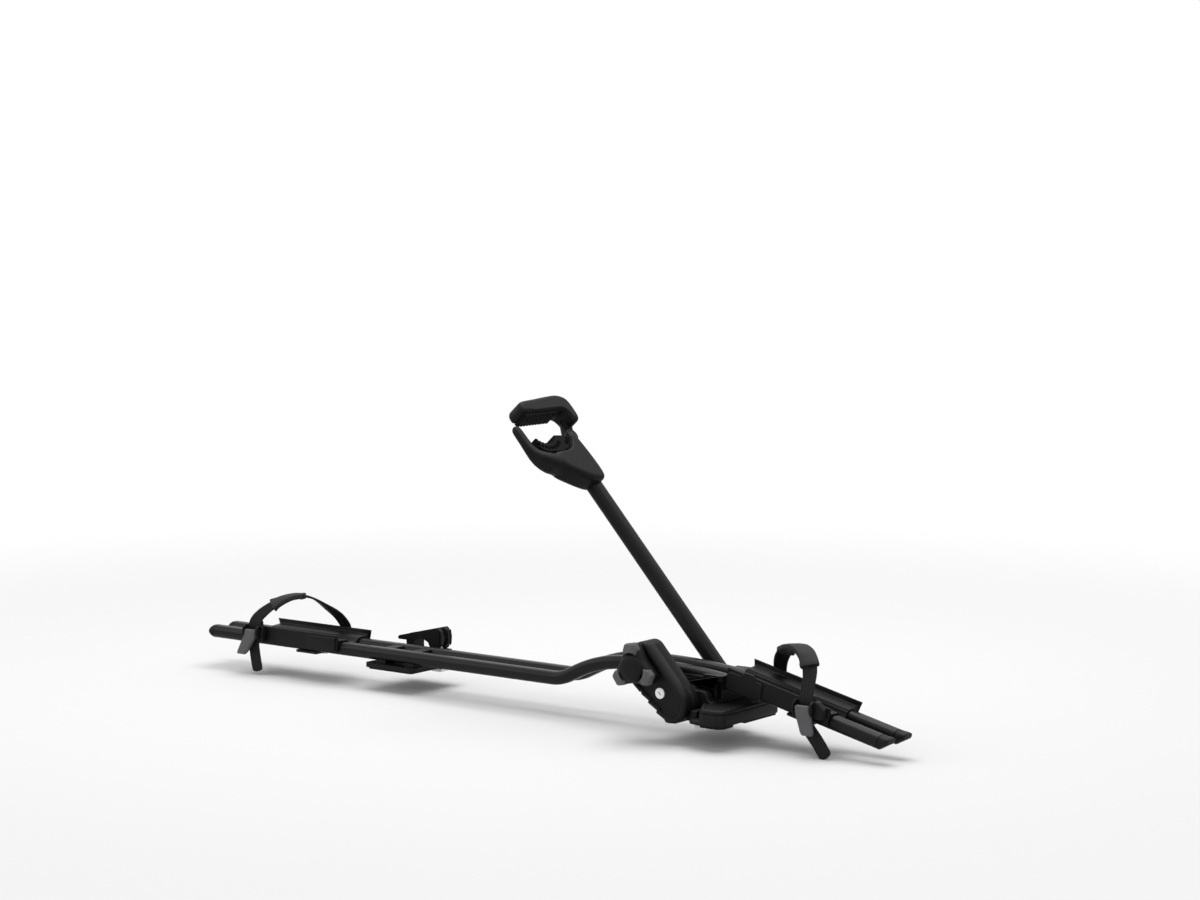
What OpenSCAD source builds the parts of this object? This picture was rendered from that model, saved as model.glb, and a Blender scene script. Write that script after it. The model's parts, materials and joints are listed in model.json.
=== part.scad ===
// Roof mounted bike carrier: twin rails on two crossbar feet, a folding arm with a
// frame clamp that a torque knob closes, and a strapped tray for each wheel.
// +X points to the front of the car, +Y away from the knob side, +Z up.
// The origin is the middle of the front foot's pad, on top of the front crossbar.

/* [Rails] */
// Width of one rail tube
rail_w = 24; // [20:0.5:28]
// Height of one rail tube
rail_h = 21; // [18:0.5:24]
// Wall of the rail tubes
rail_wall = 2; // [1.2:0.1:3]
// Distance between the two tube centres
rail_pitch = 46; // [42:1:52]
// Height of the tube centres behind the hump, above the crossbar
rail_z = 24.5; // [24:0.5:30]
// Straight length behind the hump
rail_rear_len = 717; // [700:1:900]
// Angle of the climb up the hump
hump_angle = 26; // [20:0.5:28]
// Bend radius at the foot of the hump
hump_r_low = 70; // [60:1:90]
// Bend radius at the top of the hump
hump_r_top = 220; // [180:5:260]
// Straight length between the two hump bends
hump_len = 22; // [16:1:30]
// Level length on top of the hump
crest_len = 48; // [30:1:70]
// Radius of the long bow in front of the hump
bow_r = 990; // [900:10:1200]
// Angle at which the rails run out downwards at the front
bow_angle = 13.2; // [11:0.1:14]
// Straight length at the front end
rail_front_len = 173; // [160:1:220]
// Length of the rounded caps at the rear ends
rear_cap_len = 14; // [10:1:20]
// Length of the slanted caps at the front ends
front_cap_len = 18; // [14:1:24]

/* [Front foot] */
// Front edge of the shoe
shoe_front = 68; // [64:1:72]
// Rear edge of the pivot block
shoe_rear = -60; // [-70:1:-52]
// Reach of the front shoe on the knob's side
shoe_near = 108; // [104:1:114]
// Reach of the front shoe on the arm's side
shoe_far = 50; // [46:1:52]
// Height of the shoe's top face
shoe_h = 27; // [26:0.5:29]
// Corner radius of the shoe
shoe_r = 14; // [8:1:18]
// Thickness of the rubber pads
pad_t = 3; // [2:0.5:5]
// Half width of the middle pad
pad_half = 41; // [30:1:41]
// Distance of the slot bolts from the middle
bolt_y = 54; // [54:0.5:56]
// Radius of the slot bolts
bolt_r = 4; // [3:0.5:5]
// Width of the slot bolts' heads
bolt_head_w = 20; // [16:0.5:22]
// Depth of the bolt heads' underside below the crossbar's top
bolt_depth = 12; // [10:0.5:14]
// Length of the bracket between shoe and rails
bracket_len = 34; // [30:1:38]
// Half width of the bracket
bracket_half = 46; // [44:0.5:46]

/* [Arm] */
// Distance of the arm's pivot behind the front crossbar
pivot_back = 28; // [27:0.5:30]
// Height of the arm's pivot
pivot_z = 24; // [23:0.5:25]
// Radius of the pivot shaft
shaft_r = 12; // [10:0.5:12.5]
// Radius of the passage in the pivot shaft
shaft_bore_r = 7; // [5:0.5:8]
// Lean of the arm back from upright
arm_lean = 42.3; // [35:0.1:48]
// Middle of the arm tube, on the far side
arm_y = 65; // [65:0.5:70]
// Arm tube size along the car
arm_w = 25; // [23:0.5:30]
// Arm tube size across the car
arm_d = 22; // [20:0.5:24]
// Arm tube wall
arm_wall = 2.5; // [1.5:0.1:4]
// Distance from the pivot to the top of the arm tube
arm_len = 420; // [380:1:470]

/* [Knob housing] */
// Inner face of the housing
housing_in = 62; // [62:0.5:66]
// Thickness of the housing
housing_t = 38; // [36:0.5:44]
// Wall of the housing
housing_wall = 3; // [2:0.1:4]
// Radius of the housing round the pivot
housing_r = 27; // [24:0.5:28]
// Distance from the pivot to the knob
knob_s = 76; // [72:0.5:80]
// Reach of the knob's three wings
knob_r = 40; // [36:0.5:44]
// Thickness of the knob
knob_t = 24; // [20:0.5:30]
// Radius of the knob's shaft
knob_shaft_r = 6; // [5:0.25:7]
// Radius of the lock barrel
lock_r = 8; // [7:0.25:9]
// Radius of the lock plug
lock_plug_r = 5.5; // [4.5:0.25:6]

/* [Frame clamp] */
// Radius of the bike tube that the clamp is closed on
tube_r = 26; // [22:0.5:27]
// Distance from the arm's top to the middle of the bike tube
tube_rise = 78; // [76:0.5:82]
// Rear limit of the clamp's width
clamp_rear = -11; // [-13:0.5:-10]
// Front limit of the clamp's width
clamp_front = 24; // [22:0.5:28]
// Radius of the jaw's hinge pin
jaw_pin_r = 4; // [3:0.25:5]
// Thickness of the jaw's pad
jaw_pad_t = 5.5; // [4:0.25:6]

/* [Trays] */
// Half width of the trays over their walls
tray_half = 40; // [39:0.5:42]
// Thickness of the tray walls
tray_wall = 4; // [3:0.25:5]
// Height of the tray walls above the rail tops
tray_rise = 12; // [8:0.5:16]
// Height of the tray walls' lower edge above the rails' underside
tray_lift = 5; // [3:0.5:7]
// Rear end of the rear tray
rear_tray_x = -934; // [-940:1:-925]
// Length of the rear tray
rear_tray_len = 196; // [180:1:200]
// Rear end of the front tray
front_tray_x = 28; // [28:0.5:32]
// Length of the front tray's straight part
front_tray_len = 92; // [80:1:100]

/* [Straps] */
// Width of the wheel straps
strap_w = 22; // [18:0.5:24]
// Thickness of the wheel straps
strap_t = 3.5; // [2.5:0.25:4]
// Wall of the rubber sleeves over the rims
sleeve_t = 2.5; // [1.5:0.25:4]
// Length of the buckle levers
buckle_lever_len = 42; // [34:1:48]

/* [Rear foot] */
// Distance of the rear crossbar's slot from the front one
bar_spread = 612; // [590:1:640]
// Length of the rear foot
rear_foot_len = 102; // [92:1:110]
// Thickness of the rear foot's plate
rear_plate_t = 7; // [5:0.5:8]
// Distance of the lever from the middle
lever_y = 71; // [68:0.5:76]
// Width of the lever
lever_w = 26; // [22:0.5:30]
// Radius of the lever's cam head
cam_r = 16.7; // [15:0.1:18]
// Length of the lever from its pin to its tip
lever_len = 79; // [74:1:90]
// Radius of the lever's pin
lever_pin_r = 6; // [5:0.25:7]

/* [Hidden] */
$fn = 48;
sweep_fn = 720;
bend_steps = 6;
corner_steps = 5;

// Clearances
run_fit = 0.05;
seat_gap = 0.05;
cap_gap = 0.25;
rail_gap = 0.25;
slide_gap = 0.4;
side_gap = 0.5;
eps = 0.01;

// Rails
rail_r = 9;
cap_plug_len = 20;
rail_segments = [[rail_rear_len, 0], [hump_r_low, hump_angle], [hump_len, 0],
                 [hump_r_top, -hump_angle], [crest_len, 0], [bow_r, -bow_angle],
                 [rail_front_len, 0]];
hump_run = (hump_r_low + hump_r_top) * sin(hump_angle) + hump_len * cos(hump_angle);
hump_rise = (hump_r_low + hump_r_top) * (1 - cos(hump_angle)) + hump_len * sin(hump_angle);
bow_x = -110;
crest_z = rail_z + hump_rise;
rail_x = bow_x - crest_len - hump_run - rail_rear_len;
rail_start = [rail_x, rail_z, 0];
rail_end = path_end(rail_start, rail_segments);

// Front foot
shoe_w = shoe_near + shoe_far;
shoe_y = (shoe_far - shoe_near) / 2;
shoe_split = -7;
shoe_near_x = 3;
boss_r = shaft_r + 6;
bush_t = 2.5;
bush_flange = 1.5;
bush_len = 20;
block_near = -(housing_in - side_gap - bush_flange);
knuckle_in = arm_y - arm_d / 2 - 1;
block_far = knuckle_in - side_gap - bush_flange;
bracket_x = shoe_split - 1;
nut_h = 7;
nut_r = 6.5;
bolt_head_t = 4;

// Arm
pivot_x = -pivot_back;
knuckle_r = 20;
knuckle_t = arm_d + 2;
tube_start = 21;
spigot_len = 26;
cable_r = 1.4;
arm_r = 9;

// Housing, as circles [along, up the arm, radius]
housing_chain = [[0, 0, housing_r], [9, knob_s + 13, 18], [-23, knob_s + 19, 12],
                 [-25, knob_s - 6, 10.5]];
housing_split = housing_in + housing_t / 2;
housing_out = housing_in + housing_t;
rim_h = 2;
rim_w = 5;
knob_t0 = -5;
knob_gap = 2;
lock_t0 = -2.6;
lock_s = 25;
post_r = 4.5;
screw_r = 2;
screw_posts = [[17, 52], [9, knob_s + 21], [-24, knob_s + 18]];
drum_r = 14;
drum_t = 12;
clutch_r = 16;
wing_turn = 96;

// Frame clamp, as circles [across, up the arm, radius]
tube_s = arm_len + tube_rise;
clamp_beads = [[arm_y - 9, tube_s - 88, 13], [arm_y - 25, tube_s - 66, 26],
               [12, tube_s - 61, 18], [-10, tube_s - 52, 8.3], [-28, tube_s - 42, 6.5]];
far_wall_chain = [[arm_y - 8, tube_s - 88, 12], [arm_y - 4, tube_s - 19, 8],
                  [arm_y - 25, tube_s - 66, 26]];
finger_beads = [[-28, tube_s - 42, 6.5], [-38, tube_s - 26, 8], [-38, tube_s + 10, 8]];
finger_rear = 1;
finger_front = 14;
hinge_y = arm_y + 19;
hinge_s = tube_s - 10;
hinge_r = 12;
jaw_rear = -5;
jaw_front = 3;
ear_t = 6;
jaw_seat = tube_s + tube_r + 0.8;
jaw_half = 12;
jaw_s = jaw_seat + jaw_pad_t + jaw_half;
jaw_beads = [[-3, jaw_s, jaw_half - 1], [30, jaw_s + 0.5, jaw_half],
             [70, jaw_s + 2, jaw_half + 1.5], [96, jaw_s - 3, jaw_half + 1.5],
             [99, jaw_s - 26, 10]];

// Trays
front_floor = 1;
rear_floor = 7;
clamp_plate_t = 4;
tray_screw_r = 2.5;
plate_t = 3;
plate_len = 62;
plate_in = 3;
bow_start = [bow_x, crest_z, 0];
bow_end = path_end(bow_start, [[bow_r, -bow_angle]]);
front_tray_back = (bow_end[0] - front_tray_x) / cos(bow_angle);
front_tray_start = path_end(bow_end, [[-front_tray_back, 0]]);
front_buckle_run = 58;
front_buckle_at = path_end(bow_end, [[front_buckle_run, 0]]);
front_anchor_at = path_end(bow_start, [[bow_r, -10.5]]);
rear_buckle_at = [rear_tray_x + 17, rail_z, 0];
anchor_up = 4;
front_clamp_run = 40;
rear_clamp_x = rear_tray_x + 120;

// Straps: [along, across, up] from the buckle on the tray's near wall
buckle_base_t = 3;
strap_gap = 0.5;
strap_off = tray_half + buckle_base_t + strap_gap + strap_t / 2;
front_strap_route = [[38, -strap_off - 3, -56], [21, -strap_off - 2, -34], [4, -strap_off - 1, -14],
                     [0, -strap_off, 6], [0, -strap_off, 24], [-2, -37, 42], [-6, -26, 62],
                     [-18, -14, 81], [-38, -2, 90], [-60, 8, 88], [-78, 19, 78], [-92, 31, 66],
                     [-101, 41, 54], [-104, strap_off, 42], [-104, strap_off, 32],
                     [-104, strap_off, 22]];
rear_strap_route = [[10, -strap_off - 3, -53], [5, -strap_off - 3, -30], [1, -strap_off - 2, -10],
                    [0, -strap_off, 6], [0, -strap_off, 26], [8, -38, 41], [24, -24, 57],
                    [42, -10, 68], [59, 1, 72], [78, 12, 69], [98, 24, 55], [114, 36, 40],
                    [122, strap_off, 22], [122, strap_off, 10], [122, strap_off, 0]];
strap_heart = 22;
strap_steps = 45;
sleeve_first = 19;
front_sleeve_last = 30;
rear_sleeve_last = 27;
buckle_w = strap_w + 9.5;
cheek_t = 2.4;
buckle_pin_r = 2;
buckle_low = 1;
buckle_high = 16;
buckle_pin_z = 10;
buckle_pin_y = buckle_base_t + strap_t + 6.5;
buckle_lever_t = 4.5;

// Rear foot
slot_x = -bar_spread;
rear_foot_x = slot_x - 68;
rear_foot_near = -40;
rear_foot_far = lever_y + 19;
cam_z = 41;
post_x = slot_x - 53;
lever_rest = 36;
fork_gap = 10.5;
lever_cheek = 2.5;

// Rounded rectangle about the origin
module round_rect(w, h, r) {
    square([w - 2 * r, h], center = true);
    square([w, h - 2 * r], center = true);
    for (x = [-1, 1], y = [-1, 1])
        translate([x * (w / 2 - r), y * (h / 2 - r)]) circle(r);
}

// Outer tangent points of a ring of circles [x, y, r] listed anticlockwise
function ring_points(c, inset) = [
    for (i = [0 : len(c) - 1])
        let (a = c[i], b = c[(i + 1) % len(c)], d = [b[0] - a[0], b[1] - a[1]],
             turn = atan2(d[1], d[0]) - 90 + asin((a[2] - b[2]) / norm(d)),
             n = [cos(turn), sin(turn)])
            each [[a[0], a[1]] + (a[2] - inset) * n, [b[0], b[1]] + (b[2] - inset) * n]];

// Rounded outline stretched over a convex ring of circles
module ring_outline(c, inset = 0) {
    polygon(ring_points(c, inset));
    for (k = c) translate([k[0], k[1]]) circle(k[2] - inset);
}

// Bent bar of round beads, each joined to the next
module bead_outline(c, inset = 0) {
    for (i = [0 : len(c) - 2]) ring_outline([c[i], c[i + 1]], inset);
}

// A path in the XZ plane: [x, z, heading] stepped by [length, 0] or [radius, turn]
function path_step(p, seg) =
    seg[1] == 0
    ? [p[0] + seg[0] * cos(p[2]), p[1] + seg[0] * sin(p[2]), p[2]]
    : let (s = sign(seg[1]), h = p[2] + seg[1])
      [p[0] + s * seg[0] * (sin(h) - sin(p[2])), p[1] - s * seg[0] * (cos(h) - cos(p[2])), h];
function path_end(p, segs, i = 0) =
    i == len(segs) ? p : path_end(path_step(p, segs[i]), segs, i + 1);

// Path points that follow each bend in short steps
function bend_stations(p, seg) =
    [for (k = [0 : bend_steps - 1]) k == 0 ? p : path_step(p, [seg[0], seg[1] * k / bend_steps])];
function path_stations(p, segs, i = 0) =
    i == len(segs) ? [p]
    : concat(segs[i][1] == 0 ? [p] : bend_stations(p, segs[i]),
             path_stations(path_step(p, segs[i]), segs, i + 1));

// Rounded tube section set square to a path point
function section_ring(p, w, h, r) = [
    for (q = [[-1, 1], [1, 1], [1, -1], [-1, -1]], k = [0 : corner_steps])
        let (a = atan2(q[1], q[0]) + 45 - 90 * k / corner_steps,
             y = q[0] * (w / 2 - r) + r * cos(a), z = q[1] * (h / 2 - r) + r * sin(a))
        [p[0] - z * sin(p[2]), y, p[1] + z * cos(p[2])]];

// Frame at a path point: X along the path, Z up from it
module at_path(p) {
    translate([p[0], 0, p[1]]) rotate([0, -p[2], 0]) children();
}

// Sweep of a section drawn as [across, up] along a path
module sweep(p, segs, i = 0) {
    if (i < len(segs)) {
        at_path(p) sweep_step(segs[i]) children();
        sweep(path_step(p, segs[i]), segs, i + 1) children();
    }
}
module sweep_step(seg) {
    if (seg[1] == 0)
        rotate([90, 0, 90]) linear_extrude(seg[0]) children();
    else if (seg[1] > 0)
        translate([0, 0, seg[0]]) rotate([90, 90, 0])
            rotate_extrude(angle = seg[1], $fn = sweep_fn)
                translate([seg[0], 0]) rotate(-90) mirror([0, 1]) children();
    else
        translate([0, 0, -seg[0]]) rotate([-90, -90, 0])
            rotate_extrude(angle = -seg[1], $fn = sweep_fn)
                translate([seg[0], 0]) mirror([1, 0]) rotate(90) children();
}

// Frame of the arm: X square to it, Y across the car, Z up along it
module arm_frame() {
    translate([pivot_x, 0, pivot_z]) rotate([0, -arm_lean, 0]) children();
}

// Plate between two Y planes, drawn as [along, up]
module across(y0, y1) {
    translate([0, y1, 0]) rotate([90, 0, 0]) linear_extrude(y1 - y0) children();
}

// Plate between two X planes, drawn as [across, up]
module endwise(x0, x1) {
    translate([x0, 0, 0]) rotate([90, 0, 90]) linear_extrude(x1 - x0) children();
}

// Upright plate drawn in plan
module upright(z0, z1) {
    translate([0, 0, z0]) linear_extrude(z1 - z0) children();
}

// Round bar along Y
module bar_y(r, y0, y1) {
    translate([0, y1, 0]) rotate([90, 0, 0]) cylinder(r = r, h = y1 - y0);
}

// Round bar along X
module bar_x(r, x0, x1) {
    translate([x0, 0, 0]) rotate([0, 90, 0]) cylinder(r = r, h = x1 - x0);
}

// Rail tube sections
module rail_outer(gap = 0) {
    round_rect(rail_w + 2 * gap, rail_h + 2 * gap, rail_r + gap);
}
module rail_bore(gap = 0) {
    round_rect(rail_w - 2 * rail_wall - 2 * gap, rail_h - 2 * rail_wall - 2 * gap,
               rail_r - rail_wall - gap);
}
module both_rails(gap) {
    for (side = [-1, 1]) translate([side * rail_pitch / 2, 0]) rail_outer(gap);
}

module rail(side) {
    stations = path_stations(rail_start, rail_segments);
    color("#1b1b1c") translate([0, side * rail_pitch / 2, 0])
        tube_skin([for (p = stations) section_ring(p, rail_w, rail_h, rail_r)],
                  [for (p = stations) section_ring(p, rail_w - 2 * rail_wall, rail_h - 2 * rail_wall,
                                                   rail_r - rail_wall)]);
}

// End plugs: a cap the size of the tube and a plug in its bore
module rail_caps(p, cap_len, outline_points) {
    for (side = [-1, 1])
        at_path(p) translate([0, side * rail_pitch / 2, 0]) {
            intersection() {
                endwise(0, cap_len) rail_outer();
                across(-rail_w, rail_w) polygon(outline_points);
            }
            endwise(-cap_plug_len, 0) rail_bore(cap_gap);
        }
}
module rear_rail_caps() {
    top = rail_h / 2;
    color("#141414")
        rail_caps([rail_x, rail_z, 180], rear_cap_len,
                  concat([[0, top], [0, -top]],
                         [for (a = [-90 : 15 : 90])
                              [rear_cap_len - top + top * cos(a), top * sin(a)]]));
}
module front_rail_caps() {
    top = rail_h / 2;
    color("#141414")
        rail_caps(rail_end, front_cap_len,
                  [[0, top], [0, -top], [front_cap_len * 0.2, -top],
                   [front_cap_len, top * 0.3], [front_cap_len * 0.9, top]]);
}

// Front foot
module shoe_plan(inset = 0) {
    w = shoe_front - shoe_near_x - 2 * inset;
    ledge_y = bolt_y + nut_r + 1.5;
    translate([(shoe_front + shoe_near_x) / 2, shoe_y])
        round_rect(w, shoe_w - 2 * inset, shoe_r - inset);
    translate([shoe_split + inset, block_near + inset])
        square([shoe_r * 2, ledge_y - block_near - 2 * inset]);
}
module base_shoe() {
    groove = 1.2;
    hub_r = boss_r + 3;
    hub_t = 12;
    color("#171717") difference() {
        union() {
            upright(pad_t, shoe_h) shoe_plan();
            upright(pad_t, pivot_z)
                translate([shoe_rear, block_near])
                    square([shoe_split - shoe_rear + eps, block_far - block_near]);
            translate([pivot_x, 0, pivot_z]) bar_y(boss_r, block_near, block_far);
            // Hub round the pivot, beside the housing
            intersection() {
                translate([pivot_x, 0, pivot_z]) bar_y(hub_r, block_near, block_near + hub_t);
                translate([pivot_x - 2 * hub_r, -shoe_w, pad_t]) cube([4 * hub_r, 2 * shoe_w, 4 * hub_r]);
            }
        }
        // Parting groove round the shoe
        upright(shoe_h * 0.75, shoe_h * 0.75 + groove) difference() {
            translate([shoe_near_x + shoe_r, -shoe_w]) square([shoe_w, 2 * shoe_w]);
            shoe_plan(groove);
        }
        translate([pivot_x, 0, pivot_z])
            bar_y(shaft_r + bush_t + seat_gap, block_near - 1, block_far + 1);
        for (side = [-1, 1]) translate([0, side * bolt_y, 0])
            cylinder(r = bolt_r + 0.5, h = shoe_h + 1);
        for (x = screw_spots()) translate([x, 0, pad_t + 4]) cylinder(r = 3, h = shoe_h);
        upright(0, shoe_h + 1) corner_cut();
    }
}
module corner_cut() {
    // Corner of the shoe cut back beside the housing
    cut_x = 26;
    polygon([[shoe_near_x - 1, block_near - 4], [shoe_near_x - 1, -shoe_near - 1],
             [shoe_near_x + cut_x, -shoe_near - 1]]);
}
module base_pads() {
    edge = 1.5;
    outer_in = bolt_y + bolt_head_w / 2 + 2;
    outer_out = shoe_near - edge;
    color("#0e0e0e") difference() {
        upright(0, pad_t) {
            translate([shoe_rear + 4, -pad_half])
                square([shoe_front - shoe_rear - 8, 2 * pad_half]);
            translate([(shoe_near_x + shoe_front) / 2, -(outer_in + outer_out) / 2])
                round_rect(shoe_front - shoe_near_x - 2 * edge, outer_out - outer_in, shoe_r - edge);
        }
        upright(-1, pad_t + 1) translate([edge, edge / 2]) corner_cut();
    }
}
module front_slot_bolts() {
    color("#8a8c8e") for (side = [-1, 1])
        translate([0, side * bolt_y, 0]) slot_bolt(shoe_h + nut_h + 4);
}
module slot_bolt(top) {
    translate([0, 0, -bolt_depth]) cylinder(r = bolt_r, h = bolt_depth + top);
    translate([-bolt_head_w / 2, -bolt_head_w / 2, -bolt_depth])
        cube([bolt_head_w, bolt_head_w, bolt_head_t]);
}
module front_slot_nuts() {
    color("#8a8c8e") for (side = [-1, 1])
        translate([0, side * bolt_y, shoe_h]) difference() {
            union() {
                cylinder(r = nut_r, h = nut_h, $fn = 6);
                cylinder(r = nut_r, h = 1.5);
            }
            translate([0, 0, -1]) cylinder(r = bolt_r + run_fit, h = nut_h + 2);
        }
}
function screw_spots() = [bracket_x + 7, bracket_x + bracket_len - 8];
function rail_z_at(x) = crest_z - bow_r + sqrt(bow_r * bow_r - (x - bow_x) * (x - bow_x));
// Top of the bracket, and the floor of its channel between the rails
function bracket_top() = rail_z_at(bracket_x + bracket_len / 2) + rail_h / 2 - 1;
function bracket_floor() = bracket_top() - 12;

// Bracket that ties the rails to the shoe, with open pockets at both sides
module rail_bracket() {
    top = bracket_top();
    pocket_d = 9;
    fin_back = 38;
    fin_taper = 7;
    fin_t = 8;
    fin_z = bracket_floor() + eps;
    color("#171717") difference() {
        union() {
            upright(shoe_h, top) translate([bracket_x, -bracket_half])
                square([bracket_len, 2 * bracket_half]);
            upright(fin_z, fin_z + fin_t)
                polygon([[bracket_x + 1, -bracket_half], [bracket_x + 1, bracket_half],
                         [bracket_x - fin_back, bracket_half - fin_taper],
                         [bracket_x - fin_back, fin_taper - bracket_half]]);
        }
        sweep(bow_start, [[bow_r, -bow_angle]]) both_rails(rail_gap);
        upright(bracket_floor(), top + 1) translate([bracket_x - fin_back - 1, -rail_pitch / 2])
            square([bracket_len + fin_back + 2, rail_pitch]);
        for (side = [-1, 1]) {
            across(side * bracket_half - pocket_d, side * bracket_half + pocket_d) {
                translate([bracket_x + 4, shoe_h + 4]) square([bracket_len * 0.5, top - shoe_h - 20]);
                translate([bracket_x + 8 + bracket_len * 0.5, shoe_h + 4])
                    square([bracket_len * 0.26, top - shoe_h - 12]);
            }
        }
        for (x = screw_spots()) translate([x, 0, shoe_h - 1]) cylinder(r = 3 + run_fit, h = top);
    }
}
module bracket_screws() {
    head_z = bracket_floor();
    color("#8a8c8e") for (x = screw_spots())
        translate([x, 0, 0]) difference() {
            union() {
                translate([0, 0, pad_t + 4]) cylinder(r = 3 - run_fit, h = head_z - pad_t - 4);
                translate([0, 0, head_z]) cylinder(r = 5.5, h = 5);
            }
            translate([0, 0, head_z + 2]) cylinder(r = 2.9, h = 4, $fn = 6);
        }
}
module bush(end, into) {
    // Sleeve in the block and a thrust flange on its face
    y0 = min(end, end + into * bush_len);
    f0 = min(end, end - into * bush_flange);
    color("#c9c7be") translate([pivot_x, 0, pivot_z]) difference() {
        union() {
            bar_y(shaft_r + bush_t, y0, y0 + bush_len);
            bar_y(boss_r, f0, f0 + bush_flange);
        }
        bar_y(shaft_r + run_fit, y0 - 3, y0 + bush_len + 3);
    }
}
module near_bush() { bush(block_near, 1); }
module far_bush() { bush(block_far, -1); }

// Folding arm
module pivot_shaft() {
    color("#8a8c8e") arm_frame() difference() {
        bar_y(shaft_r, -housing_in - 10, arm_y + knuckle_t / 2);
        bar_y(shaft_bore_r, -housing_in - 11, arm_y + 6);
        translate([0, arm_y, 0]) cylinder(r = cable_r + 3, h = 2 * shaft_r);
    }
}
module arm_section(gap = 0) {
    round_rect(arm_w - 2 * gap, arm_d - 2 * gap, arm_r - gap);
}
module arm_tube() {
    color("#1b1b1c") arm_frame() translate([0, arm_y, 0]) upright(tube_start, arm_len)
        difference() {
            arm_section();
            arm_section(arm_wall);
        }
}
module arm_knuckle() {
    color("#171717") arm_frame() difference() {
        union() {
            bar_y(knuckle_r, arm_y - knuckle_t / 2, arm_y + knuckle_t / 2);
            translate([0, arm_y, 0]) upright(0, tube_start) arm_section();
            translate([0, arm_y, 0]) upright(0, tube_start + spigot_len)
                arm_section(arm_wall + seat_gap);
        }
        bar_y(shaft_r + eps, arm_y - knuckle_t, arm_y + knuckle_t);
        translate([0, arm_y, 0]) cylinder(r = cable_r + 3, h = tube_start + spigot_len + 1);
    }
}

// Knob housing, in two shells
module housing_cavity() {
    ring_outline(housing_chain, housing_wall);
}
module at_knob() {
    translate([knob_t0, 0, knob_s]) children();
}
module housing_posts(y0, y1) {
    for (p = screw_posts) translate([p[0], 0, p[1]]) bar_y(post_r, y0, y1);
}
module housing_post_holes() {
    for (p = screw_posts) translate([p[0], 0, p[1]])
        bar_y(screw_r + run_fit, -housing_out + housing_wall, -housing_in + 1);
}
module housing_shell() {
    notch_s = 38;
    color("#171717") arm_frame() difference() {
        union() {
            difference() {
                across(-housing_out, -housing_split) ring_outline(housing_chain);
                across(-housing_out + housing_wall, -housing_split + 1) housing_cavity();
            }
            across(-housing_out - rim_h, -housing_out + eps) difference() {
                ring_outline(housing_chain);
                ring_outline(housing_chain, rim_w);
            }
            housing_posts(-housing_out + housing_wall - eps, -housing_split);
        }
        housing_post_holes();
        at_knob() bar_y(knob_shaft_r + run_fit, -housing_out - 3, -housing_in);
        translate([lock_t0, 0, lock_s]) bar_y(lock_r + eps, -housing_out - 3, -housing_in);
        // Stepped notches along the rear edge
        for (k = [0 : 2])
            translate([-housing_r - 5.3 + 1.1 * k, -housing_out - 3, notch_s - 18 * k])
                cube([3.4, housing_t / 2 + 4, 5]);
    }
}
module housing_back() {
    color("#171717") arm_frame() difference() {
        union() {
            difference() {
                across(-housing_split, -housing_in) ring_outline(housing_chain);
                across(-housing_split - 1, -housing_in - housing_wall) housing_cavity();
            }
            housing_posts(-housing_split, -housing_in - housing_wall + eps);
            bar_y(shaft_r + 4, -housing_in - 9, -housing_in - housing_wall + eps);
        }
        housing_post_holes();
        at_knob() bar_y(knob_shaft_r + run_fit, -housing_out, -housing_in + 1);
        bar_y(shaft_r + eps, -housing_out, -housing_in + 1);
    }
}
module housing_screws() {
    color("#8a8c8e") arm_frame() for (p = screw_posts) translate([p[0], 0, p[1]]) difference() {
        union() {
            bar_y(screw_r, -housing_out + housing_wall + 2, -housing_in);
            bar_y(3.6, -housing_in, -housing_in + 2.4);
        }
        bar_y(1.5, -housing_in + 1, -housing_in + 3, $fn = 6);
    }
}
module lock_barrel() {
    color("#d9d9d6") arm_frame() translate([lock_t0, 0, lock_s]) difference() {
        bar_y(lock_r, -housing_out - 1, -housing_split);
        bar_y(lock_plug_r + run_fit, -housing_out - 2, -housing_split - 4);
    }
}
module lock_plug() {
    color("#e4e4e2") arm_frame() translate([lock_t0, 0, lock_s]) difference() {
        bar_y(lock_plug_r, -housing_out - 1.4, -housing_split - 4.4);
        translate([-0.8, -housing_out - 2, -3.2]) cube([1.6, 8, 6.4]);
    }
}

cable_end = 14;
// Drive cable from the drum, through the pivot and up the arm: [along, across, up]
cable_route = [[knob_t0 - drum_r - 2, -78, knob_s], [-18, -78, 52], [-9, -78, 24],
               [-3, -76, 8], [0, -70, 1], [0, -58, 0], [0, 0, 0], [0, arm_y - 14, 0],
               [0, arm_y - 5, 1], [0, arm_y - 1, 6], [0, arm_y, 16], [0, arm_y, arm_len / 2],
               [0, arm_y, arm_len + cable_end]];
module drive_cable() {
    color("#3a3a3a") arm_frame() tube_along(cable_route, cable_r, 4, 8);
}

// Points of a smooth curve through a list of points
function curve_point(p, i, u) =
    let (a = p[max(i - 1, 0)], b = p[i], c = p[i + 1], d = p[min(i + 2, len(p) - 1)])
    0.5 * (2 * b + (c - a) * u + (2 * a - 5 * b + 4 * c - d) * u * u
           + (3 * b - a - 3 * c + d) * u * u * u);
function curve_at(p, f) =
    let (n = len(p) - 1, i = min(floor(f * n), n - 1)) curve_point(p, i, f * n - i);
function unit(v) = v / norm(v);
function last(v) = v[len(v) - 1];
function tangent_at(p, f) = unit(curve_at(p, min(f + 0.002, 1)) - curve_at(p, max(f - 0.002, 0)));

// Closed skin over rings of equal length
module skin(rings) {
    n = len(rings[0]);
    last = (len(rings) - 1) * n;
    polyhedron(
        points = [for (r = rings) each r],
        faces = concat(
            [for (k = [1 : n - 2]) [0, k + 1, k]],
            [for (k = [1 : n - 2]) [last, last + k, last + k + 1]],
            [for (i = [0 : len(rings) - 2], k = [0 : n - 1], h = [0, 1])
                let (a = i * n + k, b = i * n + (k + 1) % n)
                h == 0 ? [a, b, a + n] : [b, b + n, a + n]]));
}

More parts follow.
